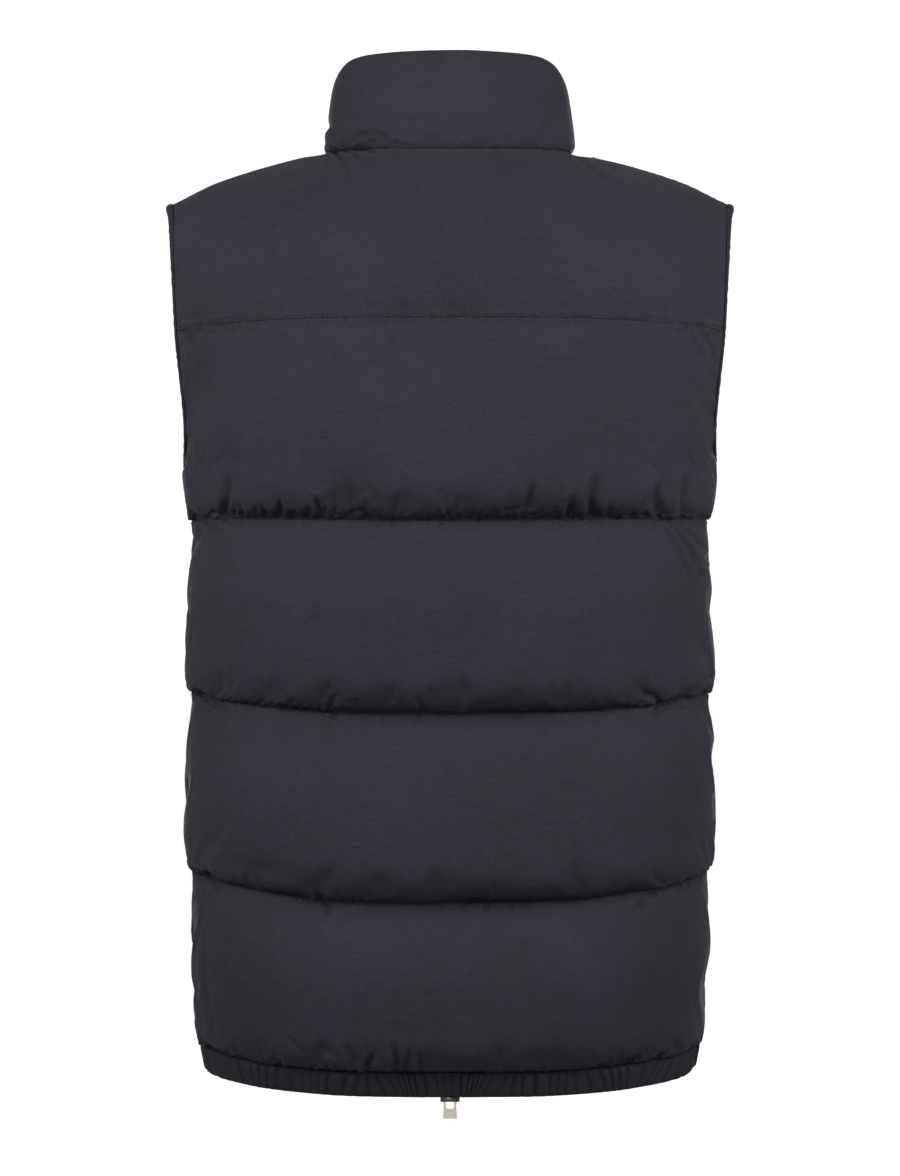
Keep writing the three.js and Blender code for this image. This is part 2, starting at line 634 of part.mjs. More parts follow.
function addPiece(name, geometry, material, parent = vest) {
  const mesh = new THREE.Mesh(geometry, material);
  mesh.name = name;
  parent.add(mesh);
  return mesh;
}

addPiece('back_body', wallGeometry(backBodyRows), CLOTH);
addPiece('back_yoke', wallGeometry(backYokeRows), CLOTH);
addPiece('front_left', wallGeometry(frontRows), CLOTH);
addPiece('front_right', wallGeometry(mirrorRows(frontRows)), CLOTH);
addPiece('collar', collarGeometry(), CLOTH);
addPiece('hem_back', hemGeometry('back', HEM_GATHERS.back), BAND);

const mirror = new THREE.Group();
mirror.scale.x = -1;
vest.add(mirror);
[['left', vest], ['right', mirror]].forEach(([side, parent]) => {
  addPiece(`hem_front_${side}`, hemGeometry('front', HEM_GATHERS.front), BAND, parent);
  addPiece(`armhole_binding_${side}`, bindingGeometry(), BAND, parent);
  addPiece(`zip_tape_${side}`, zipStrip(0, 1, CHAIN_HALF_WIDTH + SEAM_GAP, ZIP_OPENING - SEAM_GAP, TAPE_THICKNESS), TAPE, parent);
});

const PLUMB = new THREE.Quaternion().setFromAxisAngle(new THREE.Vector3(0, 0, 1), HALF_TURN);

// The sliders' frames: where each sits on the zip line, and which way its divider points
const zipLength = zipLine.getLength();
const SLIDER_PLACES = [
  { name: 'bottom', share: 3.2 / zipLength, flipped: false },
  { name: 'top', share: 1 - TOP_SLIDER_BELOW_EDGE / zipLength, flipped: true },
];
const chainClear = SLIDER.length / 2 - SLIDER.divider - 0.5;
const chainFrom = SLIDER_PLACES[0].share - chainClear / zipLength;
const chainTo = SLIDER_PLACES[1].share + chainClear / zipLength;
addPiece('zip_chain', zipStrip(chainFrom, chainTo, -CHAIN_HALF_WIDTH, CHAIN_HALF_WIDTH, CHAIN_THICKNESS), TEETH);

SLIDER_PLACES.forEach(({ name, share, flipped }) => {
  const { point, along, out } = zipFrame(share);
  const frame = new THREE.Group();
  frame.position.copy(point);
  const across = new THREE.Vector3().crossVectors(out, along);
  frame.quaternion.setFromRotationMatrix(new THREE.Matrix4().makeBasis(across, out, along));
  vest.add(frame);
  const slider = addPiece(`zip_slider_${name}`, sliderGeometry(), METAL, frame);
  if (flipped) slider.rotation.y = HALF_TURN;
  const pull = addPiece(`zip_pull_${name}`, pullGeometry(), METAL, frame);
  pull.position.set(0, PULL.hinge_out, PULL.hinge_z);
  // The lower tab hangs plumb, clear of everything; the upper one lies along the zip
  if (!flipped) pull.quaternion.copy(frame.quaternion).invert().multiply(PLUMB);
});

export default vest;
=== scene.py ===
# %% [markdown]
# # A padded vest, seen from behind
# A vest like this is two layers of thin nylon with wadding between them, quilted in wide channels,
# with a plain yoke, a stand collar, a gathered hem band and a two-way zip. The imported CAD model gives
# every size and place. This lesson dresses it: each cloth piece is built as a fine grid on the same
# surface as its solid, blown up by a short cloth simulation, creased where the real one is,
# and closed to a thin wall. All lengths in the tables are millimetres; meshes are in metres.

# %% Load the frame
import math

import bmesh
import bpy
import numpy as np
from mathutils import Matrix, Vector


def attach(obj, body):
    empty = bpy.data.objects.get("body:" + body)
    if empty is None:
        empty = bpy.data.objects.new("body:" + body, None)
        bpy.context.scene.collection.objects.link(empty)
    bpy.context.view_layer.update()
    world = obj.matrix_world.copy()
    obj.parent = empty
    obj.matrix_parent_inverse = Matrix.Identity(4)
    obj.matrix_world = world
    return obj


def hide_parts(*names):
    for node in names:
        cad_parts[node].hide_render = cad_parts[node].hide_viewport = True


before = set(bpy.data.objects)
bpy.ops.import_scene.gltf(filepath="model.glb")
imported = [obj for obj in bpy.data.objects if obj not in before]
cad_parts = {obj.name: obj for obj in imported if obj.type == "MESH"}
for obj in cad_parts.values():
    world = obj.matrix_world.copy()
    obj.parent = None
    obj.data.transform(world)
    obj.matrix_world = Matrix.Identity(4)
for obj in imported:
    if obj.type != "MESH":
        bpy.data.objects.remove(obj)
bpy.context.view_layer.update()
MM = 0.001
scene = bpy.context.scene

# %% [markdown]
# ## Where the camera stands
# The photograph was taken from behind the vest, level with its middle and from about three metres,
# so the shoulders are seen from a little below and the hem from a little above. Setting the camera
# first lets a crease be placed by its pixel in the photograph: `photo_pixel` says where a point lands.

# %% Camera
CAMERA_DISTANCE = 2945
CAMERA_HEIGHT = -333
FOCAL_PIXELS = 3784
IMAGE_WIDTH = 900
IMAGE_HEIGHT = 1176
SENSOR_WIDTH = 36

camera_data = bpy.data.cameras.new("camera")
camera_data.sensor_fit = "HORIZONTAL"
camera_data.sensor_width = SENSOR_WIDTH
camera_data.lens = FOCAL_PIXELS / IMAGE_WIDTH * SENSOR_WIDTH
camera_data.clip_end = 50
camera = bpy.data.objects.new("camera", camera_data)
camera.location = (0, CAMERA_DISTANCE * MM, CAMERA_HEIGHT * MM)
camera.rotation_euler = (math.pi / 2, 0, math.pi)
scene.collection.objects.link(camera)
scene.camera = camera


def photo_pixel(points):
    """Column and row of points in the photograph; a point in front is seen as if from the front."""
    scale = FOCAL_PIXELS / (CAMERA_DISTANCE - np.abs(points[..., 1]))
    column = IMAGE_WIDTH / 2 - points[..., 0] * scale
    row = IMAGE_HEIGHT / 2 - (points[..., 2] - CAMERA_HEIGHT) * scale
    return column, row


# %% [markdown]
# ## The stitched surface
# The quilting stitches lie on one smooth surface, an oval tube that follows the chest and the hips.
# Its table has a row for each line of stitching, and a smooth curve runs through the rows. A panel is
# a grid on that surface: `share` runs from the middle to the side edge, and z runs down the body.

# %% Levels of the body
LEVEL_KEYS = ("z", "half_width", "back", "front", "side_rise", "front_drop", "back_puff", "front_puff")
LEVEL_ROWS = {
    "yoke": (-131, 214, 127, 121, -6, 8, 0, 0),
    "chest": (-282, 197.5, 126, 123, 2, 10, 15, 15),
    "waist": (-426, 198, 123, 121, 15, 15, 18, 17),
    "hip": (-567, 197.5, 124, 121, 20, 22, 19, 17),
    "band": (-695, 189.5, 114, 110, 12, 29, 20, 17),
    "hem": (-714.5, 187, 109, 106, 10, 29, 0, 0),
}
LEVELS = {key: np.array([row[i] for row in LEVEL_ROWS.values()], float) for i, key in enumerate(LEVEL_KEYS)}
RING_ROUNDNESS = 2.6
RISE_POWER = 6
WALL = 3
SEAM_GAP = 0.3
SIDE_SEAM_Y = 14
UNDERARM_Z = -240
ARMHOLE_ROUND = 50
ARMHOLE_Y = {"back": 50, "front": -56}
ZIP_OPENING = 9


def mix(a, b, t):
    return a + (b - a) * t


def smooth(x, low, high):
    t = np.clip((x - low) / (high - low), 0, 1)
    return t * t * (3 - 2 * t)


def level_value(key, z):
    zs, values = LEVELS["z"], LEVELS[key]
    last = len(zs) - 1
    slopes = np.array([
        (values[min(k + 1, last)] - values[max(k - 1, 0)]) / (zs[min(k + 1, last)] - zs[max(k - 1, 0)])
        for k in range(last + 1)
    ])
    z = np.asarray(z, float)
    i = (z[..., None] < zs[1:-1]).sum(-1)
    span = zs[i + 1] - zs[i]
    t = (z - zs[i]) / span
    return (
        (2 * t**3 - 3 * t**2 + 1) * values[i]
        + (t**3 - 2 * t**2 + t) * span * slopes[i]
        + (3 * t**2 - 2 * t**3) * values[i + 1]
        + (t**3 - t**2) * span * slopes[i + 1]
    )


def ring_axes(z, angle):
    depth = np.where(np.abs(angle) <= math.pi / 2, level_value("back", z), level_value("front", z))
    return level_value("half_width", z), depth


def ring_point(z, angle):
    width, depth = ring_axes(z, angle)
    s, c = np.sin(angle), np.cos(angle)
    power = RING_ROUNDNESS
    radius = (np.abs(s / width) ** power + np.abs(c / depth) ** power) ** (-1 / power)
    side = level_value("side_rise", z)
    rise = np.where(c > 0, side * s**RISE_POWER, side - (side + level_value("front_drop", z)) * c * c)
    return np.stack([radius * s, radius * c, z + rise], -1)


def unit(vectors):
    return vectors / np.maximum(np.linalg.norm(vectors, axis=-1, keepdims=True), 1e-12)


def ring_normal(z, angle):
    width, depth = ring_axes(z, angle)
    p = ring_point(z, angle)
    power = RING_ROUNDNESS - 1
    x = np.sign(p[..., 0]) * np.abs(p[..., 0] / width) ** power / width
    y = np.sign(p[..., 1]) * np.abs(p[..., 1] / depth) ** power / depth
    return unit(np.stack([x, y, np.zeros_like(x)], -1))


def edge_angle(part, z):
    seam = SIDE_SEAM_Y + (SEAM_GAP / 2 if part == "back" else -SEAM_GAP / 2)
    u = np.clip((z - UNDERARM_Z) / ARMHOLE_ROUND, 0, 1)
    y = seam + (ARMHOLE_Y[part] - seam) * np.sqrt(1 - (1 - u) ** 2)
    depth = np.where(y > 0, level_value("back", z), level_value("front", z))
    x = level_value("half_width", z) * (1 - np.abs(y / depth) ** RING_ROUNDNESS) ** (1 / RING_ROUNDNESS)
    return np.arctan2(x, y)


def body_angle(part, share, z):
    edge = edge_angle(part, z)
    if part == "back":
        return share * edge
    zip_edge = math.pi - np.arcsin(ZIP_OPENING / level_value("front", z))
    return mix(zip_edge, edge, share)


print("waist half width:", float(level_value("half_width", -426.0)), "mm")

# %% [markdown]
# ## Yoke and shoulders
# Above the first stitched line nothing is quilted. Each column of the yoke is one bent curve that
# climbs from that line, leans over and ends at the neck seam or at the shoulder seam, as a flat piece
# of cloth does over a back. A Bezier curve with four handles gives just that bend.

# %% Yoke columns
SHOULDER_TIP_X = 216
SHOULDER_DROP = 42
SHOULDER_BEND = 1.25
NECK_SHARE = {"back": 0.45, "front": 0.5}
YOKE_CROWN = {
    "back": {"middle": 118, "edge": 44, "drop": 14, "edge_drop": 8},
    "front": {"middle": 112, "edge": 46, "drop": 24, "edge_drop": 10},
}
YOKE_LEAN = 0.3
NECK = {"half_width": 91, "depth": 82, "side_z": 5, "front_z": -62}
NECK_GAP = 0.8


def neck_point(angle):
    s, c = np.sin(angle), np.cos(angle)
    z = np.where(c > 0, NECK["side_z"] * s * s, NECK["side_z"] - (NECK["side_z"] - NECK["front_z"]) * c * c)
    return np.stack([NECK["half_width"] * s, NECK["depth"] * c, z], -1)


def neck_out(angle):
    s, c = np.sin(angle), np.cos(angle)
    return unit(np.stack([s / NECK["half_width"], c / NECK["depth"], np.zeros_like(s)], -1))


def yoke_top(part, share):
    """End point, bend (its depth and height) and normal at the top of a yoke column, for shares of 0 to 1."""
    turn = 1 if part == "back" else -1
    neck_share = NECK_SHARE[part]
    along = np.minimum(1, share / neck_share)
    zip_angle = math.asin(ZIP_OPENING / NECK["half_width"])
    angle = along * math.pi / 2
    if part == "front":
        angle = math.pi - mix(zip_angle, math.pi / 2, along)
    out = neck_out(angle)
    crown = YOKE_CROWN[part]
    u = np.clip((share - neck_share) / (1 - neck_share), 0, 1)
    x = mix(NECK["half_width"], SHOULDER_TIP_X, u)
    z = NECK["side_z"] - NECK_GAP - SHOULDER_DROP * u**SHOULDER_BEND
    seam = np.stack([x, np.full_like(x, turn * SEAM_GAP / 2), z], -1)
    on_neck = (share <= neck_share)[..., None]
    point = np.where(on_neck, neck_point(angle), seam)
    handle_y = turn * mix(crown["middle"], crown["edge"], share)
    handle_z = point[..., 2] - mix(crown["drop"], crown["edge_drop"], share)
    slope = SHOULDER_DROP * SHOULDER_BEND * u ** (SHOULDER_BEND - 1) / (SHOULDER_TIP_X - NECK["half_width"])
    level = unit(np.stack([slope, np.zeros_like(slope), np.ones_like(slope)], -1))
    side = np.zeros_like(level)
    side[..., 0] = 1
    shoulder = unit(mix(side, level, smooth(u, 0.02, 0.25)[..., None]))
    return point, (handle_y, handle_z), np.where(on_neck, out, shoulder)


def yoke_point(part, share, rise):
    z = np.full_like(share, LEVELS["z"][0])
    foot = ring_point(z, body_angle(part, share, z))
    point, (handle_y, handle_z), _ = yoke_top(part, share)
    handle = np.stack([mix(foot[..., 0], point[..., 0], YOKE_LEAN), handle_y, handle_z], -1)
    up = foot.copy()
    up[..., 2] = mix(foot[..., 2], point[..., 2], 0.5)
    t = rise[..., None]
    return (1 - t) ** 3 * foot + 3 * (1 - t) ** 2 * t * up + 3 * (1 - t) * t**2 * handle + t**3 * point


def yoke_normal(part, share, rise):
    step = 0.01
    low, high = np.clip(share - step, 0, 1), np.clip(share + step, 0, 1)
    across = yoke_point(part, high, rise) - yoke_point(part, low, rise)
    bottom, top = np.clip(rise - step, 0, 1), np.clip(rise + step, 0, 1)
    upwards = yoke_point(part, share, top) - yoke_point(part, share, bottom)
    normal = unit(np.cross(across, upwards) * (-1 if part == "back" else 1))
    z = np.full_like(share, LEVELS["z"][0])
    foot = ring_normal(z, body_angle(part, share, z))
    head = yoke_top(part, share)[2]
    normal = mix(normal, foot, (1 - smooth(rise, 0, 0.2))[..., None])
    return unit(mix(normal, head, smooth(rise, 0.8, 1)[..., None]))


# %% [markdown]
# ## Padding
# A channel fills out slowly below its upper seam and is fullest low down, because the wadding sinks
# and hangs over the next line of stitching. That turned-in lower edge is what draws the dark bands in
# the photograph. Beside the zip, the side seams and the armholes the padding thins out.

# %% Fullness of the channels and of the yoke
SEAM_PUFF = 1
SIDE_PUFF = 5
YOKE_PUFF = 8
YOKE_SEAM_PUFF = 4.5
YOKE_LAP = 0.3
SAG = 4
FULLEST = 0.55
FILL_BEND = 0.8
TURN_IN = 7
TURN_BEND = 0.6


def channel_fullness(v):
    """It fills soon below its upper seam, stays full and turns in sharply at its lower edge."""
    filling = np.sin(math.pi / 2 * np.minimum(v / FULLEST, 1)) ** FILL_BEND
    turning = (1 - np.clip((v - FULLEST) / (1 - FULLEST), 0, 1) ** TURN_IN) ** TURN_BEND
    return np.where(v < FULLEST, filling, turning)


def yoke_seam_share(t):
    """The yoke is only topstitched to the back, so its seam is a shallow dent in the padding."""
    return mix(0.8, 1, smooth(t, 0, 0.03)) * (1 - smooth(t, 0.05, 0.5))


def edge_fade(part, share, z):
    armhole = smooth(z, UNDERARM_Z - 10, UNDERARM_Z + 40)
    side = 1 - mix(0.45, 0.55, armhole) * smooth(share, mix(0.94, 0.84, armhole), 1)
    if part == "back":
        return side
    return side * (0.06 + 0.94 * smooth(share, 0, 0.16) ** 0.7)


def body_grid(part, shares, channel, rows):
    """Outer and inner points of one channel: a row for each value in rows, from its upper seam, 0, to 1."""
    upper, lower = LEVELS["z"][channel], LEVELS["z"][channel + 1]
    v = np.asarray(rows)[:, None]
    share = np.broadcast_to(np.abs(shares)[None, :], (len(rows), len(shares)))
    turned = np.where(shares < 0, -1, 1)[None, :]
    z = upper - v * (upper - lower)
    if part == "back" and channel == 0:
        z = z - np.where(v == 0, SEAM_GAP / 2, 0)
    if channel == 3:
        z = z + np.where(v == 1, SEAM_GAP / 2, 0)
    z = np.broadcast_to(z, share.shape)
    angle = body_angle(part, share, z) * turned
    base = ring_point(z, angle)
    normal = ring_normal(z, angle)
    puff = LEVELS[part + "_puff"][channel + 1]
    full = channel_fullness(v)
    swell = mix(SIDE_PUFF, puff, np.abs(np.cos(angle)) ** 1.1) * full
    if channel == 0:
        swell = np.hypot(swell, YOKE_SEAM_PUFF * yoke_seam_share(v))
    swell = swell * edge_fade(part, share, z)
    sag = np.minimum(SAG * full * v * v, 0.7 * (1 - v) * (upper - lower))
    outer = base + normal * (SEAM_PUFF + swell)[..., None]
    outer[..., 2] -= sag
    return outer, base - normal * WALL


def yoke_grid(part, shares, rises):
    """Outer and inner points of the yoke, from the neck and shoulder seams down to the yoke line."""
    rise = np.broadcast_to(np.asarray(rises)[:, None], (len(rises), len(shares)))
    share = np.broadcast_to(np.abs(shares)[None, :], rise.shape)
    base = yoke_point(part, share, rise)
    normal = yoke_normal(part, share, rise)
    end_fullness = mix(0.1, 0.55, smooth(share, NECK_SHARE[part], NECK_SHARE[part] + 0.4))
    rising = np.sin(math.pi / 2 * np.minimum(1, rise / 0.45)) ** 0.7
    falling = mix(end_fullness, 1, np.cos(math.pi / 2 * np.clip((rise - 0.45) / 0.55, 0, 1)))
    full = np.where(rise < 0.45, rising, falling)
    full = np.hypot(full, YOKE_SEAM_PUFF / YOKE_PUFF * yoke_seam_share(rise))
    full = full * edge_fade(part, share, np.zeros_like(share))
    lift = np.where((rise == 1) & (share <= NECK_SHARE[part]), -NECK_GAP, 0.0)
    lap = np.where((rise == 0) & (part == "back"), YOKE_LAP, 0.0)
    lift = lift - 2 * lap
    outer = base + normal * (SEAM_PUFF + YOKE_PUFF * full + lap)[..., None]
    inner = base - normal * WALL
    at_shoulder = (rise == 1) & (share > NECK_SHARE[part]) & (part == "back")
    for points in (outer, inner):
        points[..., 1] -= np.where(at_shoulder, SEAM_GAP, 0)
        points[..., 2] += lift
        points[..., 0] *= np.where(shares < 0, -1, 1)[None, :]
    return outer, inner


# %% [markdown]
# ## The grids of the padded panels
# Every panel is a regular grid, because a grid keeps the seams as clean rows, takes a simulation well
# and can be refined later. Rows lie closer together beside the seams, where cloth bends most.

# %% Panel grids
BACK_COLUMNS = 196
FRONT_COLUMNS = 80
CHANNEL_STEPS = 28
YOKE_STEPS = 36


def seam_spaced(steps, crowd=0.6):
    """Shares from 0 to 1, closer together at both ends."""
    t = np.linspace(0, 1, steps + 1)
    return t - crowd * np.sin(2 * math.pi * t) / (2 * math.pi)


def stacked(grids):
    """One grid from several that share their seam rows."""
    outer = np.concatenate([grids[0][0]] + [g[0][1:] for g in grids[1:]])
    inner = np.concatenate([grids[0][1]] + [g[1][1:] for g in grids[1:]])
    return outer, inner


back_shares = np.linspace(-1, 1, BACK_COLUMNS + 1)
front_shares = np.linspace(0, 1, FRONT_COLUMNS + 1)
channel_rows = seam_spaced(CHANNEL_STEPS)
yoke_rises = seam_spaced(YOKE_STEPS)[::-1]

back_body_grid = stacked([body_grid("back", back_shares, i, channel_rows) for i in range(4)])
back_yoke_grid = yoke_grid("back", back_shares, yoke_rises)
front_channels = [body_grid("front", front_shares, i, channel_rows) for i in range(4)]
front_grid = stacked([yoke_grid("front", front_shares, yoke_rises)] + front_channels)
SEAM_ROWS = {
    "back_body": [CHANNEL_STEPS * i for i in range(5)],
    "back_yoke": [0, YOKE_STEPS],
    "front": [0] + [YOKE_STEPS + CHANNEL_STEPS * i for i in range(5)],
}
for name, grid in (("back body", back_body_grid), ("back yoke", back_yoke_grid), ("front", front_grid)):
    print(name, "grid:", grid[0].shape[:2])

# %% [markdown]
# ## The stand collar
# The collar is a padded strip, folded over at its top edge and sewn to the neck. Its section is a slim
# loop that is open at the foot. Sections are set round the neck from one zip edge to the other.

# %% Collar grid
COLLAR_TOP = {"half_width": 84, "back": 76, "front": 75, "back_z": 76.5, "side_z": 61, "front_z": 8}
COLLAR_CORNER_POWER = 12
COLLAR_SECTION = np.array([
    # share of the height, stand-out: up the outer side, over the top edge and down the inner side
    (-0.025, 2.2), (0, 3.4), (0.04, 4.6), (0.12, 5.6), (0.4, 6), (0.72, 5.5), (0.9, 4.4), (0.97, 2.6),
    (1, 0), (0.97, -2.4), (0.9, -3.8), (0.6, -4.6), (0.2, -4.4), (0.045, -3),
])
COLLAR_HEIGHT = 70
COLLAR_COLUMNS = 150
COLLAR_STEPS = 36


def curve_through(points, count):
    """Evenly spaced points on a smooth curve through the given ones."""
    points = np.asarray(points, float)
    ends = np.concatenate([[2 * points[0] - points[1]], points, [2 * points[-1] - points[-2]]])
    fine = []
    for k in range(1, len(ends) - 2):
        p0, p1, p2, p3 = ends[k - 1 : k + 3]
        for t in np.linspace(0, 1, 12, endpoint=False):
            fine.append(
                0.5 * (2 * p1 + (p2 - p0) * t + (2 * p0 - 5 * p1 + 4 * p2 - p3) * t**2
                       + (3 * p1 - p0 - 3 * p2 + p3) * t**3)
            )
    fine = np.array(fine + [points[-1]])
    lengths = np.concatenate([[0], np.cumsum(np.linalg.norm(np.diff(fine, axis=0), axis=1))])
    wanted = np.linspace(0, lengths[-1], count)
    return np.stack([np.interp(wanted, lengths, fine[:, i]) for i in range(fine.shape[1])], -1)


def collar_grid():
    scale = np.array([COLLAR_HEIGHT, 1.0])
    section = curve_through(COLLAR_SECTION * scale, COLLAR_STEPS + 1) / scale
    end = math.pi - math.asin(ZIP_OPENING / NECK["half_width"])
    angles = np.linspace(-end, end, COLLAR_COLUMNS + 1)
    s, c = np.sin(angles), np.cos(angles)
    foot, out = neck_point(angles), neck_out(angles)
    top_depth = np.where(c > 0, COLLAR_TOP["back"], COLLAR_TOP["front"])
    back_top = mix(COLLAR_TOP["back_z"], COLLAR_TOP["side_z"], s**COLLAR_CORNER_POWER)
    front_top = mix(COLLAR_TOP["side_z"], COLLAR_TOP["front_z"], c * c)
    top = np.stack([COLLAR_TOP["half_width"] * s, top_depth * c, np.where(c > 0, back_top, front_top)], -1)
    foot[:, 2] += SEAM_GAP
    height, stand = section[:, 0][:, None, None], section[:, 1][:, None, None]
    grid = mix(foot[None], top[None], height) + out[None] * stand
    near_zip = (np.abs(s) < 0.2) & (c < 0)
    clear = np.where(near_zip[None], np.maximum(np.abs(grid[..., 0]), ZIP_OPENING), np.abs(grid[..., 0]))
    grid[..., 0] = np.where(angles < 0, -clear, clear)
    grid[:, [0, -1], 0] = [-ZIP_OPENING, ZIP_OPENING]
    return grid


collar_outer = collar_grid()
print("collar grid:", collar_outer.shape[:2], "top at", round(float(collar_outer[..., 2].max()), 1), "mm")

# %% [markdown]
# ## Blowing up the cloth
# Padded nylon is larger than the frame of stitches that holds it, so it creases beside them. Blender's
# Cloth can show that: the seam rows and the panel's edges are pinned, the cloth grows a little, and
# pressure pushes it out. Twenty frames are enough. How far a point may move from its drawn place is
# capped, so the garment keeps its measured size. All panels are blown up side by side.

# %% Simulation
SIM_FRAMES = 20
PRESSURE = 4
CLOTH_GROWTH = {"back_body": 0.022, "back_yoke": 0.003, "front": 0.03, "collar": 0.02}
MOST_MOVE = {"back_body": 3.2, "back_yoke": 0.8, "front": 4.5, "collar": 2.0}
UNEVENNESS = 0.5


def grid_faces(rows, columns, offset=0, flipped=False):
    """Quads of a grid of points that are numbered row by row."""
    r, c = np.meshgrid(np.arange(rows - 1), np.arange(columns - 1), indexing="ij")
    a = (offset + r * columns + c).ravel()
    quads = np.stack([a, a + 1, a + columns + 1, a + columns], -1)
    return quads[:, ::-1] if flipped else quads


def new_mesh_object(name, points, faces):
    mesh = bpy.data.meshes.new(name)
    mesh.from_pydata((np.asarray(points) * MM).tolist(), [], [list(map(int, f)) for f in faces])
    mesh.update()
    thing = bpy.data.objects.new(name, mesh)
    scene.collection.objects.link(thing)
    return thing


def facing_out(grid):
    """True if the grid's quads, taken as numbered, face away from the middle of the vest."""
    rows, columns = grid.shape[:2]
    r, c = rows // 3, columns // 2
    normal = np.cross(grid[r, c + 1] - grid[r, c], grid[r + 1, c] - grid[r, c])
    return normal.dot(grid[r, c] * [1, 1, 0]) > 0


def unevenly_filled(grid, seed):
    """The grid with a slight unevenness, so that the creases don't fall alike on both sides."""
    x, y, z = grid[..., 0], grid[..., 1], grid[..., 2]
    slow = np.sin(x / 17 + z / 31 + seed) * np.sin(z / 13 - x / 43 + 2 * seed)
    quick = np.sin(x / 7.3 + 3 * seed + z / 19)
    out = unit(grid * [1, 1, 0])
    return grid + out * (UNEVENNESS * (slow + 0.6 * quick))[..., None]


def cloth_sheet(name, grid, kind, pinned_rows):
    rows, columns = grid.shape[:2]
    loose = unevenly_filled(grid, len(name))
    loose[pinned_rows] = grid[pinned_rows]
    loose[:, [0, -1]] = grid[:, [0, -1]]
    grid = loose
    faces = grid_faces(rows, columns, flipped=not facing_out(grid))
    sheet = new_mesh_object(name, grid.reshape(-1, 3), faces)
    pinned = np.zeros((rows, columns), bool)
    pinned[pinned_rows] = True
    pinned[:, [0, -1]] = True
    group = sheet.vertex_groups.new(name="sewn")
    group.add(np.flatnonzero(pinned.ravel()).tolist(), 1.0, "REPLACE")
    cloth = sheet.modifiers.new("cloth", "CLOTH")
    settings = cloth.settings
    settings.quality = 4
    settings.mass = 0.15
    settings.tension_stiffness = 20
    settings.compression_stiffness = 20
    settings.shear_stiffness = 6
    settings.bending_stiffness = 0.3
    settings.tension_damping = 8
    settings.compression_damping = 8
    settings.vertex_group_mass = "sewn"
    settings.use_pressure = True
    settings.uniform_pressure_force = PRESSURE
    settings.shrink_min = -CLOTH_GROWTH[kind]
    settings.effector_weights.gravity = 0
    cloth.collision_settings.use_collision = False
    cloth.collision_settings.use_self_collision = False
    cloth.point_cache.frame_start = 1
    cloth.point_cache.frame_end = SIM_FRAMES
    return sheet


def settle(sheets):
    """Runs the cloth, then returns each sheet's points in millimetres and removes the sheets."""
    scene.frame_start, scene.frame_end = 1, SIM_FRAMES
    for number in range(1, SIM_FRAMES + 1):
        scene.frame_set(number)
    depsgraph = bpy.context.evaluated_depsgraph_get()
    settled = []
    for sheet in sheets:
        mesh = sheet.evaluated_get(depsgraph).data
        flat = np.empty(len(mesh.vertices) * 3)
        mesh.vertices.foreach_get("co", flat)
        settled.append(flat.reshape(-1, 3) / MM)
    scene.frame_set(1)
    for sheet in sheets:
        mesh = sheet.data
        bpy.data.objects.remove(sheet)
        bpy.data.meshes.remove(mesh)
    return settled


def capped(start, end, most, calm):
    """The moved points, none of them further from its start than the cap; calm rows move less."""
    move = end.reshape(start.shape) - start
    length = np.linalg.norm(move, axis=-1, keepdims=True)
    return start + move / np.maximum(length, 1e-9) * most * np.tanh(length / most) * calm[:, None, None]


def calm_rows(count, seams):
    """Full movement low in each channel, little just below its upper seam, where real cloth is smooth."""
    calm = np.ones(count)
    for upper, lower in zip(seams[:-1], seams[1:]):
        v = np.linspace(0, 1, lower - upper + 1)
        calm[upper : lower + 1] = mix(0.3, 1, smooth(v, 0.15, 0.6))
    return calm


mirror_x = np.array([-1.0, 1.0, 1.0])
panels = {
    "back_body": {"kind": "back_body", "outer": back_body_grid[0], "inner": back_body_grid[1]},
    "back_yoke": {"kind": "back_yoke", "outer": back_yoke_grid[0], "inner": back_yoke_grid[1]},
    "front_left": {"kind": "front", "outer": front_grid[0], "inner": front_grid[1]},
    "front_right": {"kind": "front", "outer": front_grid[0] * mirror_x, "inner": front_grid[1] * mirror_x},
    "collar": {"kind": "collar", "outer": collar_outer, "inner": None},
}
for panel in panels.values():
    panel["seams"] = SEAM_ROWS.get(panel["kind"], [0, -1])

sheets = [cloth_sheet(name, p["outer"], p["kind"], p["seams"]) for name, p in panels.items()]
for (name, panel), end in zip(panels.items(), settle(sheets)):
    start = panel["outer"]
    calm = calm_rows(len(start), panel["seams"] if name != "collar" else [])
    panel["outer"] = capped(start, end, MOST_MOVE[panel["kind"]], calm)
    moved = np.linalg.norm(panel["outer"] - start, axis=-1)
    print(name, "moved by", round(float(moved.mean()), 1), "to", round(float(moved.max()), 1), "mm")

# %% [markdown]
# ## Refining the grid
# The simulation runs on a coarse grid to stay quick. Doubling the grid with a smooth curve through its
# points is the same as one level of subdivision, but it keeps rows and columns, so the creases that
# come next can still be placed by row, and the seams stay where they were.

# %% Doubling a grid


def doubled_rows(grid):
    """The grid with a new row between each two, on a smooth curve through the rows around it."""
    before = np.concatenate([[2 * grid[0] - grid[1]], grid[:-1]])
    after = np.concatenate([grid[1:], [2 * grid[-1] - grid[-2]]])
    middle = (9 * (grid[:-1] + grid[1:]) - before[:-1] - after[1:]) / 16
    fine = np.empty((2 * len(grid) - 1,) + grid.shape[1:])
    fine[0::2] = grid
    fine[1::2] = middle
    return fine


def doubled(grid):
    return doubled_rows(doubled_rows(grid).swapaxes(0, 1)).swapaxes(0, 1)


def grid_normals(grid):
    across = np.gradient(grid, axis=1)
    down = np.gradient(grid, axis=0)
    normals = unit(np.cross(across, down))
    return normals if facing_out(grid) else -normals


for panel in panels.values():
    panel["outer"] = doubled(panel["outer"])
    panel["seams"] = [2 * r if r > 0 else r for r in panel["seams"]]
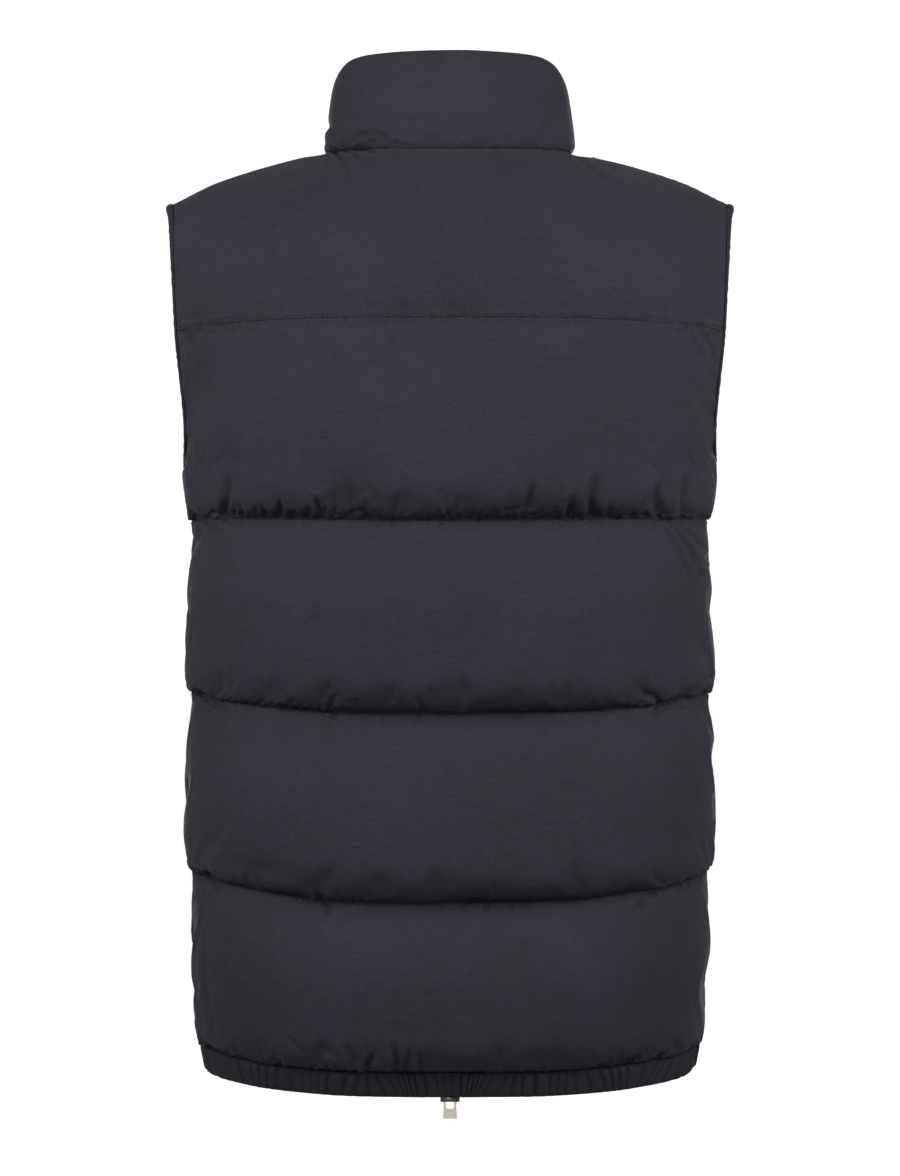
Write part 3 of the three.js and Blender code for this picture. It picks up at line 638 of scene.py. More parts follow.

# %% [markdown]
# ## Creases placed one by one
# A simulation makes even creases. The real vest has its own: deep puckers where the needle drew the
# cloth together, a fan of folds at each side seam, dents under the collar. Each is a soft trough with
# a small ridge beside it, given by the pixels that it runs through in the photograph, its width and its
# depth. Three tables hold them: single creases, rows of short puckers beside a seam, and the stretches
# where a channel's lower edge is drawn in. Each also gives the painted shade at a point: the cloth's
# colour is darkened at the bottom of a crease or a drawn-in band, where light hardly reaches.
# The fronts, which the photograph doesn't show, get the same kind of creases, mirrored.

# %% Crease table
# points in pixels, half width in pixels, depth in millimetres
CREASES = [
    (((228, 481), (226, 500), (225, 519)), 4, 3.6),
    (((205, 517), (214, 512), (221, 514)), 3.5, 2.6),
    (((186, 470), (196, 492), (204, 512)), 3, 1.2),
    (((201, 530), (195, 541), (188, 553)), 3.5, 2.6),
    (((190, 512), (205, 522), (214, 532)), 3.5, 2.0),
    (((333, 478), (335, 515)), 3, 0.8),
    (((350, 474), (352, 514)), 3, 0.9),
    (((360, 494), (366, 487), (375, 496), (374, 502)), 3, 1.6),
    (((346, 517), (357, 511), (365, 512), (371, 519)), 2.8, 2.6),
    (((395, 500), (392, 519)), 3, 1.4),
    (((459, 500), (455, 517)), 3, 1.2),
    (((506, 511), (518, 508), (530, 507)), 2.5, 1.4),
    (((533, 488), (526, 506), (522, 517)), 3.5, 2.0),
    (((572, 501), (567, 518)), 4, 3.0),
    (((596, 481), (591, 499), (592, 518)), 4.5, 3.6),
    (((610, 506), (607, 517)), 3, 2.0),
    (((660, 488), (655, 498), (657, 518)), 4.5, 3.8),
    (((686, 481), (684, 497), (682, 516)), 4.5, 3.2),
    (((661, 521), (672, 538), (682, 556), (692, 582)), 2.6, 2.2),
    (((669, 521), (684, 540), (694, 556), (705, 582)), 2.6, 2.4),
    (((677, 521), (690, 533), (704, 549)), 2.6, 2.0),
    (((690, 557), (701, 560), (711, 557)), 3, 2.2),
    (((590, 521), (600, 548)), 2.6, 0.8),
    (((197, 690), (207, 699), (217, 705), (226, 712)), 3, 2.6),
    (((325, 722), (323, 733)), 2.4, 1.2),
    (((333, 717), (330, 728)), 2.4, 1.2),
    (((334, 697), (330, 706), (334, 715)), 3, 2.0),
    (((417, 700), (422, 707), (418, 716)), 3, 1.6),
    (((644, 694), (656, 697), (659, 704), (655, 715)), 3.2, 3.2),
    (((662, 708), (680, 698), (696, 688), (708, 677)), 3.2, 2.8),
    (((690, 701), (701, 695), (708, 687)), 2.8, 2.0),
    (((206, 874), (214, 882), (217, 892)), 3, 2.4),
    (((318, 894), (323, 902), (330, 908), (326, 915)), 3, 2.8),
    (((464, 905), (472, 899), (482, 900), (490, 905)), 2.6, 1.8),
    (((560, 905), (568, 900), (576, 903)), 2.6, 1.4),
    (((632, 910), (642, 904)), 2.4, 1.4),
    (((290, 1040), (305, 1054)), 3, 1.4),
    (((318, 1045), (334, 1056)), 3, 1.8),
    (((346, 1048), (356, 1062)), 3, 2.0),
    (((372, 1056), (367, 1066), (371, 1077)), 3, 3.0),
    (((394, 1048), (397, 1060), (396, 1072)), 4, 2.8),
    (((410, 1050), (405, 1070)), 3, 2.2),
    (((419, 1056), (421, 1072)), 3, 2.0),
    (((604, 1078), (622, 1064), (646, 1052)), 4, 2.4),
    (((582, 1076), (600, 1066), (618, 1058)), 3.5, 2.0),
    (((640, 1072), (660, 1056), (676, 1044)), 4, 2.2),
    (((204, 1040), (214, 1052), (232, 1062)), 3.5, 2.2),
    (((196, 918), (194, 970), (200, 1017)), 3, 1.4),
    (((204, 925), (204, 980), (214, 1035)), 3.5, 1.6),
    (((194, 862), (204, 870), (212, 884)), 3, 2.2),
    (((326, 124), (331, 131), (334, 142)), 3, 2.6),
    (((352, 142), (360, 135), (372, 133), (388, 138)), 2.6, 2.2),
    (((372, 143), (384, 139), (398, 144)), 2.6, 1.8),
    (((345, 120), (380, 117), (420, 119)), 4, 0.8),
    (((328, 147), (336, 151), (343, 157)), 2.6, 2.4),
    (((340, 146), (348, 151), (360, 155)), 2.6, 2.4),
    (((352, 146), (364, 149), (378, 153)), 2.6, 1.8),
    (((182, 330), (190, 338), (192, 350)), 3, 1.6),
    (((560, 100), (553, 118), (540, 138)), 4.5, 1.1),
    (((334, 150), (345, 162), (352, 178)), 3.5, 1.6),
    (((352, 150), (362, 160), (372, 168)), 3.5, 1.2),
    (((575, 152), (590, 168), (612, 182)), 3.5, 1.6),
    (((586, 153), (604, 164), (626, 174)), 3.5, 1.2),
    (((702, 334), (712, 346), (716, 364)), 3.5, 1.8),
    (((188, 340), (192, 352), (188, 366)), 3, 1.2),
]
# Rows of short puckers: first and last point of the row, their count, height and lean, half width, depth
PUCKER_ROWS = [
    ((236, 518), (334, 517), 15, 17, -5, 2.2, 3.2),
    ((440, 518), (560, 518), 13, 8, -4, 2.4, 1.2),
    ((612, 518), (652, 518), 6, 8, -3, 2.4, 1.8),
    ((232, 716), (420, 718), 24, -6, 2, 2.0, 0.9),
    ((440, 716), (640, 716), 26, -6, 2, 2.0, 0.9),
    ((204, 704), (222, 716), 5, 11, 4, 2.0, 1.8),
    ((664, 706), (700, 698), 7, -11, 5, 2.2, 1.8),
    ((646, 894), (706, 876), 11, -10, -6, 2.2, 2.0),
    ((222, 892), (320, 913), 14, -6, 2, 2.0, 0.9),
    ((198, 872), (214, 892), 5, -9, 5, 2.2, 1.8),
    ((340, 911), (620, 902), 32, -5, 2, 2.0, 0.8),
    ((250, 1070), (350, 1078), 12, 12, -7, 2.6, 1.7),
    ((430, 1080), (600, 1078), 18, 9, 5, 2.6, 1.4),
    ((345, 149), (556, 149), 30, -7, 2, 2.2, 0.9),
    ((400, 143), (560, 143), 20, 6, 2, 2.2, 0.8),
]
# Long stretches where the puff's lower edge is drawn in above the seam
DRAWN_IN = [
    (((228, 515), (262, 517), (300, 517), (332, 517)), 5, 3.0),
    (((340, 517), (372, 518)), 3.5, 1.7),
    (((445, 516), (500, 516), (540, 516)), 5, 1.8),
    (((560, 516), (600, 515), (630, 514), (656, 515)), 6.5, 3.4),
    (((664, 514), (690, 513), (703, 515)), 5, 2.2),
    (((226, 709), (262, 711), (300, 714), (330, 716)), 6, 4.5),
    (((335, 715), (380, 716), (415, 716)), 4, 2.4),
    (((430, 716), (480, 716)), 2.5, 1.0),
    (((480, 712), (540, 714), (600, 714), (646, 713)), 5.5, 4.1),
    (((222, 882), (250, 890), (290, 898), (316, 908)), 8, 4.5),
    (((224, 864), (262, 868), (304, 884)), 11, 2.7),
    (((330, 910), (380, 911), (440, 910)), 4.5, 2.7),
    (((444, 904), (490, 903), (560, 902), (600, 900)), 5.5, 3.8),
    (((600, 898), (625, 892), (645, 887)), 5.5, 3.3),
    (((230, 1066), (280, 1076), (340, 1080), (400, 1083), (470, 1083), (560, 1081), (610, 1076)), 5, 3.0),
]
CREASE_REACH = 24
CREASE_SHARPNESS = 1.5
# A crease this deep gets the darkest painted shade, and a drawn-in band's painted shade spreads over a wider
# stretch
DARK_DEPTH = 4.0
DRAWN_SHADE_REACH = 2.2


def distance_to_line(column, row, points):
    """Distance of each pixel from a line through the points, and which side of it the pixel lies on."""
    nearest = np.full(column.shape, 1e9)
    side = np.zeros(column.shape)
    along = np.zeros(column.shape)
    parts = len(points) - 1
    for k, ((x0, y0), (x1, y1)) in enumerate(zip(points[:-1], points[1:])):
        dx, dy = x1 - x0, y1 - y0
        t = np.clip(((column - x0) * dx + (row - y0) * dy) / (dx * dx + dy * dy), 0, 1)
        ex, ey = column - x0 - t * dx, row - y0 - t * dy
        distance = np.hypot(ex, ey)
        closer = distance < nearest
        nearest = np.where(closer, distance, nearest)
        side = np.where(closer, np.sign(dx * ey - dy * ex), side)
        along = np.where(closer, (k + t) / parts, along)
    return nearest, side, along


def short_puckers():
    """The rows of short puckers as creases, each a little longer or shorter than the last."""
    strokes = []
    for (x0, y0), (x1, y1), count, height, lean, width, depth in PUCKER_ROWS:
        for k in range(count):
            t = (k + 0.35 * math.sin(2.9 * k + x0)) / max(count - 1, 1)
            x, y = mix(x0, x1, t), mix(y0, y1, t)
            tall = height * (0.65 + 0.35 * math.sin(4.1 * k + y0))
            side = lean * (0.5 + 0.5 * math.sin(1.7 * k))
            deep = depth * (0.7 + 0.3 * math.sin(5.3 * k + x1))
            strokes.append((((x, y - 0.15 * height), (x + side, y - tall)), width, deep))
    return strokes


def creased(outer, normals, creases, room, front_shift=0, ridge_share=0.45, shade_reach=0.9):
    """Presses every crease of a table into the outer points, nowhere deeper than the padding's room.
    It also gives how much painted shade each point gets, from 0 to 1, for the material's colour."""
    column, row = photo_pixel(outer)
    if front_shift:
        column = IMAGE_WIDTH - column + front_shift
    height = np.zeros(column.shape)
    shade = np.zeros(column.shape)
    for points, width, depth in creases:
        low, high = np.min(points, axis=0) - CREASE_REACH, np.max(points, axis=0) + CREASE_REACH
        near = (column > low[0]) & (column < high[0]) & (row > low[1]) & (row < high[1])
        if not near.any():
            continue
        distance, side, along = distance_to_line(column[near], row[near], points)
        ends = 0.35 + 0.65 * np.sin(math.pi * np.clip(0.12 + 0.76 * along, 0, 1))
        trough = np.exp(-((distance / width) ** CREASE_SHARPNESS))
        ridge = np.exp(-(((distance - 1.9 * width) / width) ** 2)) * (side > 0)
        height[near] += depth * ends * (ridge_share * ridge - trough)
        # Painted shade: how much the cloth's colour is darkened in the bottom of this crease, where light
        # hardly reaches
        dark = np.exp(-((distance / (shade_reach * width)) ** 2)) * ends * min(depth / DARK_DEPTH, 1)
        shade[near] = np.maximum(shade[near], dark)
    return outer + normals * np.maximum(height, -room)[..., None], shade


# %% [markdown]
# ## Small gathers along the stitching
# Between the big creases the stitching still draws the cloth up every few millimetres. These gathers
# are low waves that are strongest beside a seam and die out within a finger's width. Their spacing
# wanders, as a sewer's hand lets it, so no two are alike.

# %% Gathers
GATHER_PITCHES = (8.6, 5.3)
GATHER_HEIGHT = {"above": 1.3, "below": 0.8}
GATHER_REACH = {"above": 9.0, "below": 7.0}
BROAD_UNEVENNESS = 0.5
CALM_EDGE = 25
NO_SEAM = 99


def wander(x, seed, pitch):
    """A wave of uneven spacing and height along x, from about -1 to 1."""
    phase = 2 * math.pi * x / pitch
    drift = 1.3 * np.sin(phase / 5.3 + seed) + 0.9 * np.sin(phase / 2.7 + 2.1 * seed)
    height = 0.55 + 0.45 * np.sin(phase / 3.9 + 1.7 * seed)
    return np.sin(phase + drift) * height


def gathered(panel, name):
    """Adds low waves beside each seam row, and broad soft unevenness everywhere else."""
    outer = panel["outer"]
    normals = grid_normals(outer)
    rows = np.arange(len(outer))
    seed = 1.0 + len(name)
    step = np.linalg.norm(np.diff(outer, axis=1), axis=-1)
    width = np.concatenate([np.zeros((len(outer), 1)), np.cumsum(step, axis=1)], axis=1)
    height = np.zeros(outer.shape[:2])
    down = np.concatenate([
        np.zeros((1, outer.shape[1])),
        np.cumsum(np.linalg.norm(np.diff(outer, axis=0), axis=-1), axis=0),
    ])
    ends = [seam if seam >= 0 else len(outer) - 1 for seam in panel["seams"]]
    for k, seam in enumerate(ends):
        gap = np.abs(down - down[seam])
        above = (rows < seam)[:, None]
        reach = np.where(above, GATHER_REACH["above"], GATHER_REACH["below"])
        cluster = 0.5 + 0.5 * np.sin(width / 29 + 1.7 * k + seed) * np.sin(width / 67 + 2.3 * seed - k)
        strength = np.where(above, GATHER_HEIGHT["above"], GATHER_HEIGHT["below"])
        strength = strength * panel.get("gather", 1.0) * (0.35 + 1.3 * cluster)
        fade = np.exp(-((gap / reach) ** 2)) * (1 - np.exp(-((gap / 1.2) ** 2)))
        lean = width + 0.35 * gap * np.sin(width / 47 + seed + k)
        wide, narrow = GATHER_PITCHES
        waves = wander(lean, seed + 1.9 * k, wide) + 0.7 * wander(lean, seed + 3.1 * k, narrow)
        height += strength * fade * waves
    broad = np.sin(width / 61 + down / 83 + seed) * np.sin(down / 47 - width / 131 + 2 * seed)
    broad += 0.6 * np.sin(width / 29 - down / 37 + 3 * seed) * np.sin(down / 23 + width / 71)
    inside = np.ones(outer.shape[:2])
    for seam in panel["seams"]:
        inside *= smooth(np.abs(down - down[seam]), 0, CALM_EDGE)
    inside *= smooth(np.minimum(width, width[:, -1:] - width), 0, CALM_EDGE)
    height += BROAD_UNEVENNESS * broad * inside
    height *= smooth(np.minimum(width, width[:, -1:] - width), 0, 4)
    panel["along"] = width
    gaps = [np.abs(down - down[seam]) for seam in ends]
    over = [np.where(rows[:, None] <= seam, gap, NO_SEAM) for seam, gap in zip(ends, gaps)]
    under = [np.where(rows[:, None] >= seam, gap, NO_SEAM) for seam, gap in zip(ends, gaps)]
    panel["above"], panel["below"] = np.min(over, axis=0), np.min(under, axis=0)
    return outer + normals * height[..., None]


LEAST_ROOM = 0.6
COLLAR_ROOM = 3


def padding_room(panel, outer):
    """How far each outer point stands out from the stitched surface."""
    if panel["inner"] is None:
        return np.full(outer.shape[:2], COLLAR_ROOM)
    thickness = np.linalg.norm(outer - doubled(panel["inner"]), axis=-1)
    return np.maximum(thickness - WALL - SEAM_PUFF, 0)


def across_body(outer):
    """The level direction away from the body, for pressing an overhanging edge straight in."""
    angle = np.arctan2(outer[..., 0], outer[..., 1])
    return ring_normal(np.full(angle.shape, LEVELS["z"][2]), angle)


panels["back_yoke"]["gather"] = 0.25
panels["collar"]["gather"] = 0.6
FRONT_SHIFT = {"front_left": 26, "front_right": -34}
for name, panel in panels.items():
    panel["outer"] = gathered(panel, name)
    shift = FRONT_SHIFT.get(name, 0)
    low_half = padding_room(panel, panel["outer"]) * (panel["above"] < panel["below"])
    level = across_body(panel["outer"])
    # Each pressing also gives the painted shade of its folds, a darker colour where light hardly reaches the
    # bottom
    pressed, panel["drawn"] = creased(
        panel["outer"], level, DRAWN_IN, low_half, shift, ridge_share=0, shade_reach=DRAWN_SHADE_REACH
    )
    room = padding_room(panel, pressed) + LEAST_ROOM
    strokes = CREASES + short_puckers()
    pressed, panel["valley"] = creased(pressed, grid_normals(pressed), strokes, room, shift)
    keep = np.ones(panel["outer"].shape[:2] + (1,))
    keep[panel["seams"]] = 0
    keep[:, [0, -1]] = 0
    panel["outer"] = mix(panel["outer"], pressed, keep)

# %% [markdown]
# ## Closing the walls
# A panel has an outer face with all its folds, a plain inside and a rim between them. The inside takes
# every fourth point of the grid only: nobody sees a fold there, and a plain face costs little.

# %% Walls
INNER_STEP = 4


def rim_loop(rows, columns, step):
    """Row and column of the points round a grid's edge, every step-th one, in order."""
    loop = [(0, c) for c in range(0, columns - 1, step)]
    loop += [(r, columns - 1) for r in range(0, rows - 1, step)]
    loop += [(rows - 1, c) for c in range(columns - 1, 0, -step)]
    loop += [(r, 0) for r in range(rows - 1, 0, -step)]
    return loop


def wall_object(name, outer, inner):
    """A closed wall from a fine outer grid and an inner grid, whose every second point is used."""
    rows, columns = outer.shape[:2]
    inner = inner[:: INNER_STEP // 2, :: INNER_STEP // 2]
    inner_rows, inner_columns = inner.shape[:2]
    offset = rows * columns
    points = np.concatenate([outer.reshape(-1, 3), inner.reshape(-1, 3)])
    flipped = not facing_out(outer)
    faces = grid_faces(rows, columns, 0, flipped).tolist()
    faces += grid_faces(inner_rows, inner_columns, offset, not flipped).tolist()
    rim_start = len(faces)
    loop = rim_loop(rows, columns, 1)
    half = INNER_STEP // 2
    for k in range(0, len(loop), INNER_STEP):
        stretch = [loop[(k + j) % len(loop)] for j in range(INNER_STEP + 1)]
        outer_ids = [r * columns + c for r, c in stretch]
        inner_ids = []
        for r, c in (stretch[0], stretch[-1]):
            inner_ids.append(offset + (r // INNER_STEP) * inner_columns + c // INNER_STEP)
        strip = [(outer_ids[j + 1], outer_ids[j], inner_ids[0]) for j in range(half)]
        strip.append((outer_ids[half], inner_ids[0], inner_ids[1]))
        strip += [(outer_ids[j + 1], outer_ids[j], inner_ids[1]) for j in range(half, INNER_STEP)]
        faces += [face[::-1] for face in strip] if flipped else strip
    return smooth_shaded(new_mesh_object(name, points, faces), rim_start)


def smooth_shaded(thing, flat_from=None):
    """Smooth faces; those of a rim stay flat, so that the outer face keeps its shading up to the seam."""
    smooth_faces = np.ones(len(thing.data.polygons), bool)
    if flat_from is not None:
        smooth_faces[flat_from:] = False
    thing.data.polygons.foreach_set("use_smooth", smooth_faces)
    return thing


# How much the painted shade of drawn-in bands and of creases darkens the cloth's colour
PAINTED_SHADE_STRENGTH = {"drawn": 0.9, "valley": 0.6}


def seams_marked(thing, panel):
    """Keeps each outer point's distance from the seam below it and above it, for the material's puckers, and
    the painted shade of its creases and of a pulled-in channel edge.
    """
    count = len(thing.data.vertices)
    for key, far in (("above", 0.099), ("below", 0.099), ("along", 0.0)):
        values = np.full(count, far)
        flat = panel[key].ravel() * MM
        values[: len(flat)] = flat
        layer = thing.data.attributes.new(f"seam_{key}", "FLOAT", "POINT")
        layer.data.foreach_set("value", values)
    # Painted shade for the material: a darker colour in the bottom of creases and drawn-in bands
    for key in ("drawn", "valley"):
        values = np.zeros(count)
        flat = panel[key].ravel()
        values[: len(flat)] = flat * PAINTED_SHADE_STRENGTH[key]
        layer = thing.data.attributes.new(key, "FLOAT", "POINT")
        layer.data.foreach_set("value", values)
    return thing


pieces = {}
for name in ("back_body", "back_yoke", "front_left", "front_right"):
    panel = panels[name]
    wall = wall_object(f"{name}_padded", panel["outer"], panel["inner"])
    pieces[name] = seams_marked(wall, panel)
    print(name, "faces:", len(wall.data.polygons))


def collar_object(grid):
    """The collar's loop of points, closed at the foot and capped at the zip."""
    rows, columns = grid.shape[:2]
    points = grid.reshape(-1, 3)
    flipped = not facing_out(grid)
    faces = grid_faces(rows, columns, 0, flipped).tolist()
    last = (rows - 1) * columns
    for c in range(columns - 1):
        quad = [last + c, last + c + 1, c + 1, c]
        faces.append(quad[::-1] if flipped else quad)
    for c, turned in ((0, False), (columns - 1, True)):
        cap = [r * columns + c for r in range(rows)]
        half = rows // 2
        for r in range(half):
            quad = [cap[r], cap[r + 1], cap[rows - 2 - r], cap[rows - 1 - r]]
            if len(set(quad)) < 4:
                quad = list(dict.fromkeys(quad))
            if len(quad) > 2:
                faces.append(quad[::-1] if turned != flipped else quad)
    return new_mesh_object("collar_padded", points, faces)


pieces["collar"] = seams_marked(smooth_shaded(collar_object(panels["collar"]["outer"])), panels["collar"])

# %% [markdown]
# ## Thin cloth: hem band, bindings and zip tapes
# These are not padded. The hem band is a strip folded over elastic, so it is gathered all round. The
# binding is a narrow strip folded over the armhole's raw edge, and a zip tape is a flat woven ribbon
# that runs in behind the front edge. Each is one sheet, drawn as a grid and given its real thickness.

# %% Thin sheets
CLOTH_THICKNESS = 0.7
TAPE_THICKNESS = 0.9


def sheet_object(name, grid, thickness, looped=False):
    """A thin closed wall, half of its thickness on each side of the grid."""
    rows, columns = grid.shape[:2]
    if looped:
        grid = np.concatenate([grid, grid[:, :1]], axis=1)
        across = (np.roll(grid[:, :-1], -1, axis=1) - np.roll(grid[:, :-1], 1, axis=1))
        normals = unit(np.cross(across, np.gradient(grid[:, :-1], axis=0)))
        grid = grid[:, :-1]
    else:
        normals = unit(np.cross(np.gradient(grid, axis=1), np.gradient(grid, axis=0)))
    front, back = grid + normals * thickness / 2, grid - normals * thickness / 2
    points = np.concatenate([front.reshape(-1, 3), back.reshape(-1, 3)])
    offset = rows * columns
    wide = columns if looped else columns - 1
    faces = []
    for r in range(rows - 1):
        for c in range(wide):
            d = (c + 1) % columns
            quad = [r * columns + c, r * columns + d, (r + 1) * columns + d, (r + 1) * columns + c]
            faces.append(quad[::-1])
            faces.append([i + offset for i in quad])
    edges = [(c, (c + 1) % columns) for c in range(wide)]
    last = (rows - 1) * columns
    edges += [(last + (c + 1) % columns, last + c) for c in range(wide)]
    if not looped:
        edges += [(r * columns + columns - 1, (r + 1) * columns + columns - 1) for r in range(rows - 1)]
        edges += [((r + 1) * columns, r * columns) for r in range(rows - 1)]
    faces += [[a, b, b + offset, a + offset] for a, b in edges]
    thing = new_mesh_object(name, points, faces)
    return smooth_shaded(thing)


HEM_PATH = [
    # share of the height, stand-out, share of the gathers
    (0.0, 0.7, 0.15), (0.12, 1.0, 0.7), (0.3, 1.2, 1.0), (0.55, 1.3, 1.0), (0.8, 1.2, 0.9),
    (0.95, 0.8, 0.6), (1.0, -0.6, 0.35), (0.95, -1.8, 0.1), (0.6, -2.2, 0), (0.2, -2.2, 0),
    # the upper edge is tucked into the panel above it, as its seam allowance is
    (0.0, -1.8, 0), (-0.07, -0.8, 0),
]
HEM_GATHERS = {"back": 58, "front": 32}
HEM_STEPS_A_GATHER = 10
HEM_FOLD = 4.2
HEM_ROWS = 24
HEM_SCALE = np.array([19, 1, 4])


def humps(x, seed, pitch):
    """Rounded folds of uneven width and height, and how deep in a hollow between them each point lies, for
    the painted shade there.
    """
    phase = math.pi * x / pitch
    drift = 1.1 * np.sin(phase / 5.3 + seed) + 0.8 * np.sin(phase / 2.3 + 2.1 * seed)
    height = 0.6 + 0.4 * np.sin(phase / 3.7 + 1.7 * seed)
    wave = np.abs(np.sin(phase + drift))
    return wave**0.6 * height, (1 - wave) ** 3


def hem_grid(part, mirrored=1):
    band, hem = LEVELS["z"][-2] - SEAM_GAP / 2, LEVELS["z"][-1]
    gathers = HEM_GATHERS[part]
    first = -1 if part == "back" else 0
    shares = np.linspace(first, 1, gathers * HEM_STEPS_A_GATHER + 1)
    path = curve_through(np.array(HEM_PATH) * HEM_SCALE, HEM_ROWS) / HEM_SCALE
    count = shares * gathers / (1 - first)
    lean = 0.9 * np.sin(count / 3.1) + 0.5 * np.sin(count / 1.3 + 2)
    fine = wander(shares * gathers / (1 - first), 5.7, 0.47)
    rows, painted_valley_shades = [], []
    for height, stand, gather in path:
        z = np.full(len(shares), mix(band, hem, min(height, 1.0)))
        angle = body_angle(part, np.abs(shares), z) * np.where(shares < 0, -1, 1)
        fold, valley = humps(count + lean * height, 2.3 if part == "back" else 4.1, 1.0)
        wave = HEM_FOLD * fold * (0.85 + 0.15 * math.cos(5 * height)) + 0.35 * fine
        out = stand + gather * wave
        point = ring_point(z, angle) + ring_normal(z, angle) * out[:, None]
        point[:, 2] += 0.5 * gather * fine * math.sin(math.pi * height)
        rows.append(point * [mirrored, 1, 1])
        painted_valley_shades.append(gather * valley)
    return np.array(rows), np.array(painted_valley_shades)


HEM_BANDS = (("hem_back", "back", 1), ("hem_front_left", "front", 1), ("hem_front_right", "front", -1))
for name, part, mirrored in HEM_BANDS:
    grid, painted_valley_shades = hem_grid(part, mirrored)
    pieces[name] = sheet_object(f"{name}_gathered", grid, CLOTH_THICKNESS)
    # Painted shade: the band's colour goes darker deep in the hollows between the gathers
    shade = pieces[name].data.attributes.new("valley", "FLOAT", "POINT")
    shade.data.foreach_set("value", np.concatenate([painted_valley_shades.ravel()] * 2))

# %% [markdown]
# The binding follows the edge points of the panels, so it can't come away from them. It laps over the
# raw edge on both faces, and at the underarm it turns where the back and the front meet.

# %% Armhole bindings
BINDING_WIDTH = 5
BINDING_COLUMNS = 260
BINDING_RIPPLE = 0.22
UNDERARM_POINT = 8
BINDING_SECTION = [
    # across into the opening, share of the wall's thickness, extra stand-out
    (-1.2, 1.0, 0.6), (1.6, 1.0, 1.0), (3.6, 0.9, 0.9), (4.9, 0.62, 0.4), (5.3, 0.5, 0.0),
    (4.9, 0.38, -0.4), (3.6, 0.1, -0.9), (1.6, 0.0, -1.0), (-1.2, 0.0, -0.6),
]


def armhole_edges():
    """Outer and inner points round the left armhole, from the underarm up the back and down the front."""
    deepest = UNDERARM_Z + float(level_value("side_rise", UNDERARM_Z))
    loop = []
    back = [np.concatenate([back_yoke_grid[k][:, -1], back_body_grid[k][1:, -1]]) for k in (0, 1)]
    front = [front_grid[k][:, -1] for k in (0, 1)]
    for (outer, inner), turned in ((back, True), (front, False)):
        used = inner[:, 2] >= deepest - UNDERARM_POINT
        outer, inner = outer[used], inner[used]
        loop.append((outer[::-1], inner[::-1]) if turned else (outer, inner))
    outer = np.concatenate([loop[0][0][:-1], loop[1][0][:-1]])
    inner = np.concatenate([loop[0][1][:-1], loop[1][1][:-1]])
    return outer, inner


def evenly(points, count):
    closed = np.concatenate([points, points[:1]])
    lengths = np.concatenate([[0], np.cumsum(np.linalg.norm(np.diff(closed[:, :3], axis=0), axis=1))])
    wanted = np.linspace(0, lengths[-1], count, endpoint=False)
    return np.stack([np.interp(wanted, lengths, closed[:, i]) for i in range(points.shape[1])], -1)


def binding_grid(mirrored):
    outer, inner = armhole_edges()
    both = evenly(np.concatenate([inner, outer], axis=1), BINDING_COLUMNS)
    for _ in range(2):
        both = (np.roll(both, 1, axis=0) + 2 * both + np.roll(both, -1, axis=0)) / 4
    inner, outer = both[:, :3], both[:, 3:]
    normal = outer - inner
    thickness = np.linalg.norm(normal, axis=1, keepdims=True)
    normal = unit(normal)
    along = np.roll(inner, -1, axis=0) - np.roll(inner, 1, axis=0)
    away = unit(np.cross(along, normal))
    middle = inner.mean(axis=0)
    away = np.where(((middle - inner) * away).sum(1, keepdims=True) < 0, -away, away)
    path = curve_through(BINDING_SECTION, 17)
    count = np.arange(len(inner))
    rows = []
    for across, share, stand in path:
        bulge = math.sin(math.pi * across / BINDING_WIDTH / 1.2)
        ripple = BINDING_RIPPLE * wander(count, 3.3 + mirrored, 4.3)[:, None] * bulge
        rows.append(inner + away * (across + 0.5 * ripple) + normal * (thickness * share + stand + ripple))
    return np.array(rows) * [mirrored, 1, 1]


for side, mirrored in (("left", 1), ("right", -1)):
    name = f"armhole_binding_{side}"
    pieces[name] = sheet_object(f"{name}_folded", binding_grid(mirrored), CLOTH_THICKNESS, looped=True)
edge = evenly(armhole_edges()[1], BINDING_COLUMNS)
edge_steps = np.linalg.norm(edge - np.roll(edge, 1, axis=0), axis=1)
print("armhole edge:", round(float(edge_steps.sum()), 1), "mm long")

# %% [markdown]
# ## The zip
# Two ribbons carry a row of moulded teeth each. The CAD model has the chain as one strip and gives the
# line that it follows. Here every tooth is its own small block that grips between two of the other
# side, and the ribbons run on behind the front edges, where they are sewn.

# %% Zip line and tapes


def line_of_node(node):
    """Points along the middle of a zip strip, read from its sections in the frame."""
    points = np.array([v.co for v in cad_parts[node].data.vertices]) / MM
    points = points[np.argsort(points[:, 2])]
    cuts = np.flatnonzero(np.diff(points[:, 2]) > 6) + 1
    line = np.array([group.mean(axis=0) for group in np.split(points, cuts)])
    line[:, 0] = 0
    return line


def along_line(line, count):
    points = curve_through(line, count)
    tangents = unit(np.gradient(points, axis=0))
    out = np.stack([np.zeros(count), -tangents[:, 2], tangents[:, 1]], -1)
    return points, tangents, out


TAPE_PATH = [
    # distance from the middle, stand-out
    (0.6, 0.0), (2.3, 0.0), (3.8, 0.1), (5.5, 0.1), (7.6, 0.0),
    (8.8, -1.2), (9.4, -2.9), (10.6, -3.7), (13.0, -3.9),
]
# Inside the sliders the tapes part, by this much on each side and this far from their ends
TAPE_PARTED = 2.3
TAPE_PARTS_AT = 10
tape_points, _, tape_out = along_line(line_of_node("zip_tape_left"), 260)
tape_path = curve_through(TAPE_PATH, 15)


